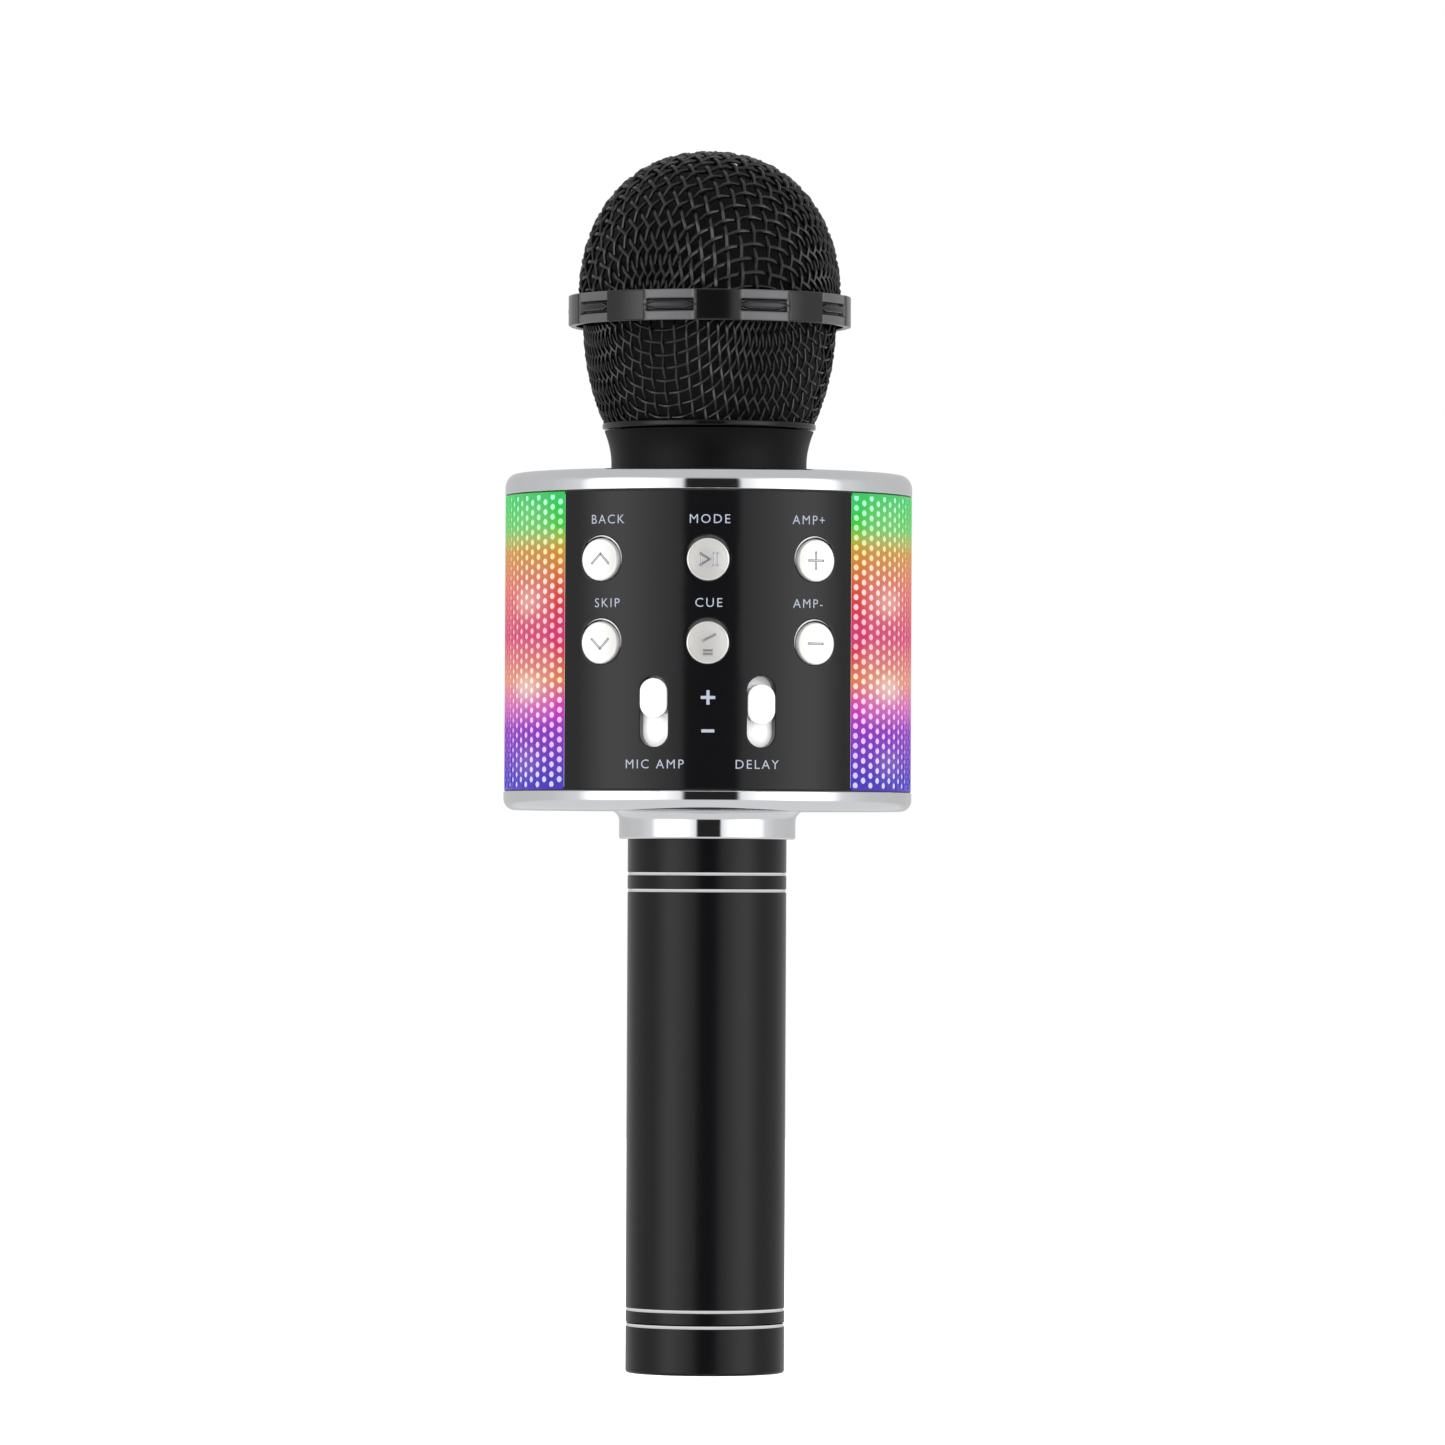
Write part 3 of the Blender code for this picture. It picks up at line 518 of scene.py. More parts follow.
def shell_fit(p, wide, tall, middle):
    """How far points are from a shell of revolution, (r / wide)^n + (h / tall)^n - 1, and its slope there. h is
    the height above the middle for a dome and the depth below it for a bowl, and 0 past the middle, so that the
    shell goes on there as a straight cylinder."""
    power = DOME_POWER if tall > 0 else 2.0
    way = np.sign(tall)
    r = np.hypot(p[..., 0], p[..., 1]) + 1e-9
    h = np.maximum(way * (p[..., 2] - middle), 0.0)
    value = (r / wide) ** power + (h / abs(tall)) ** power - 1
    out = power / wide * (r / wide) ** (power - 1) / r
    rise = way * power / abs(tall) * (h / abs(tall)) ** (power - 1)
    return value, np.stack([out * p[..., 0], out * p[..., 1], rise], -1)


def net_quarter(wide, tall, middle, pitch, count):
    """Crossings of a cloth net on one quarter of the shell. The net's two middle wires run down meridians, with a
    crossing at every pitch of arc. Every other crossing lies one pitch from its two earlier neighbours and on
    the shell; a diagonal of crossings is solved at a time by Newton's method."""
    power = DOME_POWER if tall > 0 else 2.0
    t = np.linspace(0, pi / 2, 4001)
    r = wide * np.sin(t) ** (2 / power)
    z = middle + tall * np.maximum(np.cos(t), 0) ** (2 / power)
    r, z = np.append(r, wide), np.append(z, middle - np.sign(tall) * 60)
    arc_long = np.append(0, np.cumsum(np.hypot(np.diff(r), np.diff(z))))
    stops = pitch * np.arange(count + 1)
    r, z = np.interp(stops, arc_long, r), np.interp(stops, arc_long, z)
    net = np.full((count + 1, count + 1, 3), np.nan)
    net[:, 0] = np.stack([r, 0 * r, z], -1)
    net[0, :] = np.stack([0 * r, r, z], -1)
    for total in range(2, 2 * count + 1):
        i = np.arange(max(1, total - count), min(count, total - 1) + 1)
        j = total - i
        a, b = net[i - 1, j], net[i, j - 1]
        p = a + b - net[i - 1, j - 1]
        for _ in range(14):
            value, slope = shell_fit(p, wide, tall, middle)
            rows = np.stack([2 * (p - a), 2 * (p - b), slope * wide], 1)
            miss = [((p - a) ** 2).sum(1) - pitch**2, ((p - b) ** 2).sum(1) - pitch**2, value * wide]
            p = p - np.clip(np.einsum("nij,nj->ni", np.linalg.pinv(rows), np.stack(miss, 1)), -pitch, pitch)
        net[i, j] = p
    return net


def smooth_line(nodes, per):
    """A Catmull-Rom curve through a wire's crossings, with `per` points to each pitch."""
    ends = np.concatenate([2 * nodes[:1] - nodes[1:2], nodes, 2 * nodes[-1:] - nodes[-2:-1]])
    a, b, c, d = ends[:-3, None], ends[1:-2, None], ends[2:-1, None], ends[3:, None]
    t = np.arange(per)[None, :, None] / per
    bend = (2 * a - 5 * b + 4 * c - d) * t**2 + (3 * b - a - 3 * c + d) * t**3
    return (0.5 * (2 * b + (c - a) * t + bend)).reshape(-1, 3)


def woven(wide, tall, middle, pitch, radius, wave, azimuth, low, high, count, per=6, sides=7):
    """Every wire of a woven shell, cut at two heights. A wire swings over and under its crossings: it leaves the
    net along the shell's normal by wave x cos(pi x crossing number), and the other family by the opposite."""
    net = net_quarter(wide, tall, middle, pitch, count)
    place = np.arange(-count, count + 1)
    whole = net[np.abs(place)[:, None], np.abs(place)[None, :]].copy()
    whole[..., 0] *= np.sign(place)[:, None] + (place == 0)[:, None]
    whole[..., 1] *= np.sign(place)[None, :] + (place == 0)[None, :]
    turn = radians(azimuth)
    spin = np.array([[cos(turn), -sin(turn), 0], [sin(turn), cos(turn), 0], [0, 0, 1]])
    wires = []
    for family, lines in ((1, whole.transpose(1, 0, 2)), (-1, whole)):
        for number, nodes in zip(place, lines):
            path = smooth_line(nodes, per)
            step = np.arange(len(path)) / per - count
            value, slope = shell_fit(path, wide, tall, middle)
            normal = slope / np.linalg.norm(slope, axis=1, keepdims=True)
            path = path + normal * (family * wave * np.cos(pi * (step + number)))[:, None]
            shown = (path[:, 2] > low) & (path[:, 2] < high) & (np.abs(value) < 0.02)
            cuts = np.flatnonzero(np.diff(np.r_[False, shown, False].astype(int)))
            for start, end in zip(cuts[::2], cuts[1::2]):
                if end - start > per // 2:
                    wires.append(tube(path[start:end] @ spin.T, normal[start:end] @ spin.T, radius, sides))
    return join(wires)


class MICROPHONE_OT_wire_head(bpy.types.Operator):
    """Woven wire dome and bowl, with the foam liner behind them"""

    bl_idname = "microphone.wire_head"
    bl_label = "Wire Head"

    def execute(self, context):
        own = context.scene.microphone
        thick, wave = own.wire_radius / MM, own.wire_wave / MM
        inset = thick + wave
        wide, tall, pitch = DOME_R - inset, DOME_TOP - DOME_Z - inset, own.dome_pitch / MM
        dome = woven(wide, tall, DOME_Z, pitch, thick, wave, azimuth=21, low=BAND_LOW + 3.5, high=300, count=20)
        piece("dome_mesh", dome, surface("black_wire"), "grille_head", "black_wire", ("grille_dome",))
        thin, wave = 0.68 * thick, 0.74 * wave
        wide, pitch, low = BOWL_R - thin - wave, own.bowl_pitch / MM, NECK_TOP + 1.0
        bowl = woven(wide, -BOWL_REACH, BOWL_Z, pitch, thin, wave, azimuth=-22, low=low, high=216.4, count=23)
        piece("bowl_mesh", bowl, surface("black_wire"), "grille_head", "black_wire", ("grille_bowl",))
        depth = 2.4
        # The liner's line follows the dome's superellipse and then the bowl's ellipse, set in by its depth.
        q, power = np.linspace(0, pi / 2, 30), 2 / DOME_POWER
        top_r, top_z = DOME_R - depth, DOME_TOP - DOME_Z - depth
        dome_line = [top_r * np.sin(q) ** power, DOME_Z + top_z * np.maximum(np.cos(q), 0) ** power]
        z = np.linspace(213.0, 194.0, 18)
        bowl_line = [(BOWL_R - depth) * np.sqrt(1 - ((BOWL_Z - z) / BOWL_REACH) ** 2), z]
        outer = np.concatenate([dome_line, bowl_line], 1).T
        # The inner wall is the outer one drawn in about a point on the axis, 3 mm thick at the widest place.
        inner = outer[::-1] * (1 - 3.0 / BOWL_R, 1)
        inner[:, 1] = np.minimum(inner[:, 1], 200.0 + (inner[:, 1] - 200.0) * 0.94)
        foam = lathe(np.concatenate([outer, inner]), closed=False, steps=96)
        liner = piece("foam_liner", foam, surface("foam"), "grille_head", "foam", ("grille_foam",))
        return {"FINISHED"}


class MICROPHONE_OT_head_band(bpy.types.Operator):
    """Clamp band: plain lugs between sections with two bars and a pointed middle ridge"""

    bl_idname = "microphone.head_band"
    bl_label = "Head Band"

    def execute(self, context):
        # Nine sections of 40 degrees. Across a section the ridge's half height runs out to a point at both ends,
        # and the outline goes over to the plain full radius inside the lugs.
        a = np.linspace(0, 2 * pi, 9 * 64 + 1)
        turn = np.abs((np.degrees(a) - 3.3 + 20) % 40 - 20)
        plain = np.clip((10.1 - turn) / 0.8, 0, 1)
        ridge = 0.62 * np.clip((turn - 10.3) / 3.0, 0.04, 1) ** 0.75
        half = (BAND_HIGH - BAND_LOW) / 2
        bar, groove = BAND_R - 0.3, BAND_R - 0.95
        heights = [half + 0 * a, 1.28 + 0 * a, 1.1 + 0 * a, ridge + 0.16, ridge]
        radii = [bar, bar, groove, groove, BAND_R]
        z = np.stack([*heights, *[-h for h in reversed(heights)], -half + 0 * a, half + 0 * a], -1)
        r = np.array([*radii, *reversed(radii), DOME_R + 0.4, DOME_R + 0.4]) + 0 * a[:, None]
        r[:, :10] += (BAND_R - r[:, :10]) * plain[:, None]
        outline = soften(np.stack([r, z + (BAND_LOW + BAND_HIGH) / 2], -1), 0.3, 3)
        # The band's black, with a painted highlight on its recessed bars.
        paint = paint_bar_highlight(surface("band_black"))
        piece("head_band", swept(outline, a), paint, "grille_head", "band_black", ("grille_band",), sharp=50)
        return {"FINISHED"}


class MICROPHONE_OT_neck(bpy.types.Operator):
    """Flared neck and the head's threaded lip"""

    bl_idname = "microphone.neck"
    bl_label = "Neck"

    def execute(self, context):
        share = np.linspace(1, 0, 25)
        flare = np.stack([20.0 + 1.45 * share**1.8, 186.0 + (NECK_TOP - 186.0) * share], -1)
        seat = RING_TOP + 0.3
        inner = [(20.0, seat), (16.6, seat), (16.6, 176.5), (14.6, 176.5), (14.6, 184.5), (18.3, 184.5)]
        inner += [(18.3, 191.4), (20.7, 191.4), (20.7, NECK_TOP)]
        outline = soften(np.concatenate([flare, inner]), 0.25, 4)
        piece("neck_sleeve", lathe(outline), surface("neck_black"), "handle", "neck_black", ("neck",))
        lip = [(LIP_R, 194.0), (LIP_R, 192.8), (18.0, 192.8), (18.0, 186.3), (15.8, 186.3), (15.8, 194.0)]
        lip = lathe(soften(lip, 0.35, 5))
        piece("head_lip", lip, surface("panel_black"), "grille_head", "neck_black", ("grille_socket",))
        return {"FINISHED"}


# --- The barrel ---


class MICROPHONE_OT_trim_rings(bpy.types.Operator):
    """Chromed rings above and below the barrel, the lower one with the handle's collar"""

    bl_idname = "microphone.trim_rings"
    bl_label = "Trim Rings"

    def execute(self, context):
        chrome = surface("chrome")
        under, collar_r, foot = 114.8, 18.05, 109.0
        lower = arc(RING_R - 2.3, under + 2.3, 2.3, 2.3, 0, -90, 12)
        lower += arc(collar_r + 2.1, under - 2.1, 2.1, 2.1, 90, 180, 10)
        lower += arc(collar_r - 0.5, foot + 0.5, 0.5, 0.5, 0, -90, 6)
        lower += [(16.55, foot), (16.55, 119.3), (12.5, 119.3), (12.5, 121.0), (19.0, 121.0), (19.0, 116.6)]
        lower += [(39.6, 116.6), (39.6, 118.6), (RING_R - 0.15, 118.6), (RING_R, 118.45)]
        piece("lower_ring", lathe(lower, steps=256), chrome, "handle", "chrome", ("bottom_ring",))
        edge = RING_R - 0.1
        # Two thin black rings where the barrel meets the chrome rings: painted shade, dark bands standing in for
        # the shadow in those gaps.
        shade_rings = []
        for low in (BARREL_LOW - 0.24, BARREL_HIGH + 0.04):
            band = np.array([(41.52, low + 0.2), (41.52, low), (40.0, low), (40.0, low + 0.2)])
            shade_rings.append(lathe(band, steps=256))
        piece("barrel_shade_rings", join(shade_rings), surface("rubber"), "handle", "rubber")
        upper = arc(edge - 2.3, RING_TOP - 2.9, 2.3, 2.9, 90, 0, 14)
        upper += [(edge, 179.35), (edge - 0.15, 179.2), (39.9, 179.2), (39.9, 181.7), (17.0, 181.7)]
        upper += [(17.0, RING_TOP)]
        piece("upper_ring", lathe(upper, steps=256), chrome, "handle", "chrome", ("top_ring",))
        return {"FINISHED"}


class MICROPHONE_OT_light_wrap(bpy.types.Operator):
    """Pierced wrap round the barrel's sides and back, with the lit diffuser behind it"""

    bl_idname = "microphone.light_wrap"
    bl_label = "Light Wrap"

    def execute(self, context):
        own = context.scene.microphone
        pitch, hole = own.hole_pitch / MM, own.hole_radius / MM
        columns, rows = 82, int(round((BARREL_HIGH - BARREL_LOW) / pitch))
        start, end = PANEL_HALF + 0.4, 360 - PANEL_HALF - 0.4
        wide = radians(end - start) * BARREL_R / columns
        # A lattice step is a quarter of the pitch, so columns staggered by half a pitch meet point to point.
        rise = pitch / 4
        centre_u = (np.arange(columns) - (columns - 1) / 2) * wide
        # One cell: twelve lattice points round it and twelve on the hole, joined by faces.
        half = [(1, 0), (1, 1), (1, 2), (0, 2), (-1, 2), (-1, 1)]
        rim = np.array([*half, *[(-x, -y) for x, y in half]]) * (wide / 2, rise)
        q = np.radians(np.arange(12) * 30)
        edge = hole * np.stack([1.35 * np.cos(q), np.sin(q)], -1)
        cell = np.concatenate([rim, edge])
        k = np.arange(12)
        cell_faces = np.stack([k, (k + 1) % 12, 12 + (k + 1) % 12, 12 + k], -1)
        near_port = np.abs(centre_u) < radians(29.3) * BARREL_R
        window = np.abs(centre_u) < radians(26.0) * BARREL_R
        quarters = []
        for quarter in np.array_split(np.arange(columns), 4):
            flats, faces, count = [], [], 0
            for column in quarter:
                odd = column % 2
                middles = BARREL_LOW + pitch * (np.arange(rows - odd) + 0.5 + 0.5 * odd)
                if near_port[column]:
                    middles = middles[middles > BARREL_LOW + 12.2 - odd]
                spots = np.stack([np.full(len(middles), centre_u[column]), middles], -1)
                flats.append((spots[:, None] + cell).reshape(-1, 2))
                first = count + 24 * np.arange(len(middles))[:, None, None]
                faces.append((cell_faces[None] + first).reshape(-1, 4))
                count += 24 * len(middles)
                # Plain steps fill what the holes leave at both ends, apart from the socket plate's window.
                steps = np.arange(int(round((BARREL_HIGH - BARREL_LOW) / rise)))
                middle = BARREL_LOW + (steps + 0.5) * rise
                plain = (middle < middles[0] - pitch / 2) | (middle > middles[-1] + pitch / 2)
                if window[column]:
                    plain &= (middle < 120.4) | (middle > 129.9)
                low = BARREL_LOW + steps[plain] * rise
                for side in (-1, 0):
                    u = centre_u[column] + side * wide / 2
                    box = np.array([(0, 0), (wide / 2, 0), (wide / 2, rise), (0, rise)])
                    flats.append((np.stack([np.full(len(low), u), low], -1)[:, None] + box).reshape(-1, 2))
                    faces.append(np.arange(4 * len(low)).reshape(-1, 4) + count)
                    count += 4 * len(low)
            quarters.append((np.concatenate(flats), faces))
        web = glow("lit_web", 1, 0.92, 0.4, 5.5)
        for number, (flat, faces) in enumerate(quarters):
            points = on_barrel(flat, BARREL_R, 180)
            stands_for = ("speaker_grille",) if number == 0 else ()
            shape, name = (points, faces), f"light_wrap_{number + 1}"
            piece(name, shape, web, "handle", "grille_wrap", stands_for, wall=0.25, closed=False)
        sheets = []
        outer, left, right = BARREL_R - 0.32, 180 - 26.7, 180 + 26.7
        for first, last, foot in ((start + 0.1, left, 119.4), (left, right, 130.3), (right, end - 0.1, 119.4)):
            sheet = np.array([(outer, foot), (outer, 178.4), (outer - 0.8, 178.4), (outer - 0.8, foot)])
            count = int((last - first) / 1.4) + 1
            points, faces = swept(sheet, np.radians(np.linspace(first, last, count)))
            ends = np.arange(4) + 4 * (count - 1)
            sheets.append((points, [*faces, np.stack([np.arange(4), ends[::-1]])]))
        points, faces = join(sheets)
        backlight = glow("lit_diffuser", 2, 1.0, 0.8, 6.0)
        piece("glow_sheet", (points, faces), backlight, "handle", "milky_plastic", ("light_diffuser",))
        return {"FINISHED"}


def lettering(name, word, azimuth, height, tall, radius):
    """A generic function word as a thin printed solid: its text is made a mesh and wrapped on the barrel."""
    curve = bpy.data.curves.new(name, "FONT")
    curve.body, curve.size, curve.align_x, curve.resolution_u = word, 1.0, "CENTER", 3
    curve.extrude, curve.space_character, curve.offset = 0.02, 1.25, -0.004
    text = bpy.data.objects.new(name, curve)
    bpy.context.scene.collection.objects.link(text)
    mesh = bpy.data.meshes.new_from_object(text.evaluated_get(bpy.context.evaluated_depsgraph_get()))
    bpy.data.objects.remove(text)
    co = np.empty(len(mesh.vertices) * 3)
    mesh.vertices.foreach_get("co", co)
    co = co.reshape(-1, 3)
    # Capitals of the built-in typeface stand 0.729 of its size.
    scale = tall / 0.729
    flat = np.stack([co[:, 0] * scale, height + (co[:, 1] - 0.3645) * scale], -1)
    wrapped = on_barrel(flat, radius, azimuth)
    a = flat[:, 0] / BARREL_R + radians(azimuth)
    wrapped += np.stack([np.sin(a), -np.cos(a), 0 * a], -1) * (co[:, 2:] * 0.4)
    faces = [tuple(polygon.vertices) for polygon in mesh.polygons]
    bpy.data.meshes.remove(mesh)
    return wrapped, faces


class MICROPHONE_OT_control_panel(bpy.types.Operator):
    """Glossy black panel with its openings and printed legends"""

    bl_idname = "microphone.control_panel"
    bl_label = "Control Panel"

    def execute(self, context):
        own = context.scene.microphone
        half = radians(PANEL_HALF) * BARREL_R
        u_lines = np.linspace(-half, half, 65)
        z_lines = np.linspace(BARREL_LOW, BARREL_HIGH, 61)
        holes = []
        for azimuth in BUTTON_COLUMNS.values():
            for height in BUTTON_ROWS.values():
                holes.append((radians(azimuth) * BARREL_R, height + BUTTON_DROP, BUTTON_HOLE_R, BUTTON_HOLE_R, 1.4))
        for azimuth in (-SLOT_ANGLE, SLOT_ANGLE):
            holes.append((radians(azimuth) * BARREL_R, SLOT_Z, SLOT_WIDE / 2, SLOT_LONG / 2, 1.3))
        flat, faces = pierced(u_lines, z_lines, holes)
        black = surface("panel_black")
        points = on_barrel(flat, BARREL_R)
        walls = {"wall": 2.0, "bevel": 0.12, "closed": False}
        piece("front_panel", (points, faces), black, "handle", "panel_black", ("control_panel",), **walls)
        # A chrome crescent along the upper inner edge of each side hole is a painted highlight: it is shaped and
        # placed to stand for the reflection on the hole's wall there. Its width runs from 0 to 0.34 and back as a
        # half sine.
        t = np.linspace(0, 1, 33)
        turn = np.radians(-20 + 160 * t)
        crescents = []
        for column, side in (("left", 1), ("right", -1)):
            for height in BUTTON_ROWS.values():
                outer = BUTTON_HOLE_R - 0.02
                radii = (outer, outer - 0.34 * np.sin(pi * t))[::side]
                rows = [np.stack([side * r * np.cos(turn), r * np.sin(turn)], -1) for r in radii]
                flat = np.stack(rows, 1).reshape(-1, 2) + (0, height + BUTTON_DROP)
                crescents.append((on_barrel(flat, BARREL_R - 0.06, BUTTON_COLUMNS[column]), [grid(33, 2)]))
        piece("hole_highlight_crescents", join(crescents), surface("chrome"), "handle", "chrome", wall=0.1, closed=False)
        words = [
            ("BACK", -29.2, own.top_row),
            ("MODE", 0.4, own.top_row),
            ("AMP+", 29.2, own.top_row),
            ("SKIP", -29.2, own.second_row),
            ("CUE", 0.2, own.second_row),
            ("AMP-", 29.0, own.second_row),
            ("MIC AMP", -14.9, own.bottom_row),
            ("DELAY", 13.9, own.bottom_row),
        ]
        solid, faces, count = [], [], 0
        for word, azimuth, height in words:
            tall = own.letter_height / MM
            points, polygons = lettering("legend", word, azimuth, height / MM, tall, BARREL_R + 0.012)
            solid.append(points)
            faces += [tuple(corner + count for corner in polygon) for polygon in polygons]
            count += len(points)
        # Plus and minus between the two slides, as flat bars wrapped on the panel.
        for wide, tall, height in ((2.9, 0.62, 137.3), (0.62, 2.9, 137.3), (2.6, 0.62, 130.6)):
            corners = np.array([(-1, -1), (1, -1), (1, 1), (-1, 1)]) * (wide / 2, tall / 2) + (0.1, height)
            lift = 0.004 if tall > wide else 0.0
            radii = (BARREL_R + 0.022 + lift, BARREL_R + 0.002)
            solid.append(np.concatenate([on_barrel(corners, radius) for radius in radii]))
            box = [(0, 1, 2, 3), (7, 6, 5, 4), (0, 4, 5, 1), (1, 5, 6, 2), (2, 6, 7, 3), (3, 7, 4, 0)]
            faces += [tuple(corner + count for corner in side) for side in box]
            count += 8
        sizes = sorted({len(face) for face in faces})
        blocks = [np.array([face for face in faces if len(face) == size]) for size in sizes]
        piece("legends", (np.concatenate(solid), blocks), surface("legend_ink"), "handle", "panel_black")
        return {"FINISHED"}


# Marks on the caps as strokes of millimetre points: a chevron up, play and pause, plus, a chevron down, a
# microphone on its stand, and minus.
MARKS = {
    ("upper", "left"): [[(-1.9, -0.7), (0.0, 1.2), (1.9, -0.7)]],
    ("upper", "middle"): [
        [(-1.5, 1.1), (-1.5, -1.1), (0.3, 0.0), (-1.5, 1.1)],
        [(1.1, 1.1), (1.1, -1.1)],
        [(1.9, 1.1), (1.9, -1.1)],
    ],
    ("upper", "right"): [[(-1.6, 0.0), (1.6, 0.0)], [(0.0, -1.6), (0.0, 1.6)]],
    ("lower", "left"): [[(-1.9, 0.7), (0.0, -1.2), (1.9, 0.7)]],
    ("lower", "middle"): [[(-0.9, 0.4), (1.5, 1.6)], [(-0.8, -1.6), (0.8, -1.6)], [(-0.8, -2.3), (0.8, -2.3)]],
    ("lower", "right"): [[(-1.6, 0.0), (1.6, 0.0)]],
}


def dish(r):
    """Height of a cap's face above the barrel: 0.32 in the middle, rising with the radius squared to 0.62."""
    return 0.32 + 0.3 * (r / 3.9) ** 2


def mark_shape(strokes, width):
    """Strokes lying on a cap's face: each straight piece is a strip of 9 by 3 points on it, 0.02 proud."""
    shapes = []
    for stroke in strokes:
        for (x0, y0), (x1, y1) in zip(stroke[:-1], stroke[1:]):
            along = np.array([x1 - x0, y1 - y0]) / np.hypot(x1 - x0, y1 - y0)
            side = np.array([-along[1], along[0]]) * width / 2
            t, s = (part.reshape(-1, 1) for part in np.meshgrid(np.linspace(0, 1, 9), (-1, 0, 1), indexing="ij"))
            flat = np.array([x0, y0]) + t * (x1 - x0, y1 - y0) + (t * 2 - 1) * along * width / 2 + s * side
            r = np.hypot(flat[:, 0], flat[:, 1])
            shapes.append((np.column_stack([flat, dish(r) + 0.02]), [grid(9, 3)]))
    return join(shapes)


class MICROPHONE_OT_push_buttons(bpy.types.Operator):
    """Six spun silver caps, each dished and marked"""

    bl_idname = "microphone.push_buttons"
    bl_label = "Push Buttons"

    def execute(self, context):
        silver = spun_silver()
        dark = surface("steel")
        r = np.linspace(0, 3.75, 10)
        face = list(zip(r, dish(r)))
        # Round the rim, down the side, and in under the wide foot that the panel holds.
        side = [(4.0, 0.62), (4.2, 0.5), (4.28, 0.26), (4.3, 0.0), (4.3, -2.9), (5.4, -2.9), (5.4, -3.6)]
        outline = np.array([*face, *side, (1.5, -3.6), (1.5, -4.0), (0.0, -4.0)])
        for row, height in BUTTON_ROWS.items():
            for column, azimuth in BUTTON_COLUMNS.items():
                # The lathe's axis becomes the cap's outward axis.
                points, faces = lathe(outline, closed=False, steps=72)
                body = f"button_{row}_{column}"
                shape = (stand(points, azimuth, BARREL_R, height), faces)
                cap = piece(f"cap_{row}_{column}", shape, silver, body, "chrome", (body,))
                self.lay_face_map(cap.data, azimuth, height)
                points, faces = mark_shape(MARKS[row, column], 0.5)
                shape = (stand(points, azimuth, BARREL_R, height), faces)
                piece(f"mark_{row}_{column}", shape, dark, body, "chrome", wall=0.12, closed=False)
        return {"FINISHED"}

    @staticmethod
    def lay_face_map(mesh, azimuth, height):
        """A UV map in millimetres across the cap's face, from its own centre: right along the barrel, and up."""
        co = np.empty(len(mesh.vertices) * 3)
        mesh.vertices.foreach_get("co", co)
        co = co.reshape(-1, 3) / MM
        a = radians(azimuth)
        flat = np.stack([co[:, 0] * cos(a) + co[:, 1] * sin(a), co[:, 2] - height], -1)
        corners = np.empty(len(mesh.loops), int)
        mesh.loops.foreach_get("vertex_index", corners)
        mesh.uv_layers.new(name="face").data.foreach_set("uv", flat[corners].astype(np.float32).reshape(-1))


class MICROPHONE_OT_slide_knobs(bpy.types.Operator):
    """Two slide knobs, each with the pale track plate that moves behind its slot"""

    bl_idname = "microphone.slide_knobs"
    bl_label = "Slide Knobs"

    def execute(self, context):
        spray = surface("silver_spray")
        # Sections of inset and height. The inset of 9 is more than any half width, so it closes on the middle.
        knob = [(9, 1.55), (1.9, 1.6), (1.1, 1.58), (0.55, 1.46), (0.2, 1.2), (0.03, 0.8), (0, 0.4), (0, -2.6)]
        knob += [(9, -2.6)]
        # A dark skirt a little wider than the knob, under its edge: painted shade standing in for the shadow in the
        # gap round the knob.
        shade_skirt_sections = [(9, -0.7), (0.05, -0.7), (0, -0.75), (0, -1.2), (9, -1.2)]
        plate = [(9, -2.7), (0.1, -2.7), (0, -2.8), (0, -3.4), (0.1, -3.5), (9, -3.5)]
        stem = [(9, -3.4), (0, -3.4), (0, -5.4), (9, -5.4)]
        for side, azimuth in (("left", -SLOT_ANGLE), ("right", SLOT_ANGLE)):
            body = f"slide_knob_{side}"
            height = KNOB_Z[side]
            points, faces = stadium_block(2.7, 3.95, knob)
            shape = (stand(points, azimuth, BARREL_R, height), faces)
            piece(f"knob_{side}", shape, spray, body, "chrome", (body,))
            points, faces = stadium_block(2.715, 3.965, shade_skirt_sections)
            shade_skirt = (stand(points, azimuth, BARREL_R, height), faces)
            piece(f"gasket_{side}", shade_skirt, surface("rubber"), body, "rubber")
            parts = [stadium_block(4.1, 10.6, plate), stadium_block(1.0, 1.6, stem, 24)]
            points, faces = join(parts)
            shape = (stand(points, azimuth, BARREL_R, height), faces)
            piece(f"track_{side}", shape, spray, body, "chrome")
        return {"FINISHED"}


class MICROPHONE_OT_rear_sockets(bpy.types.Operator):
    """Socket plate at the back, with its charging, headphone and card openings"""

    bl_idname = "microphone.rear_sockets"
    bl_label = "Rear Sockets"

    def execute(self, context):
        half = radians(PORT_HALF) * BARREL_R
        u_lines, z_lines = np.linspace(-half, half, 75), np.linspace(PORT_LOW, PORT_HIGH, 19)
        # Seen from behind the plate's own right is the object's left.
        holes = [(0.0, 124.2, 4.8, 1.95, 0.5), (-10.6, 125.1, 2.2, 2.2, 0.5), (11.65, 123.4, 5.8, 0.8, 0.5)]
        flat, faces = pierced(u_lines, z_lines, holes)
        shape = (on_barrel(flat, BARREL_R, 180), faces)
        walls = {"wall": 1.2, "bevel": 0.1, "closed": False}
        piece("socket_plate", shape, surface("panel_black"), "handle", "panel_black", ("port_plate",), **walls)
        return {"FINISHED"}


# --- The handle ---


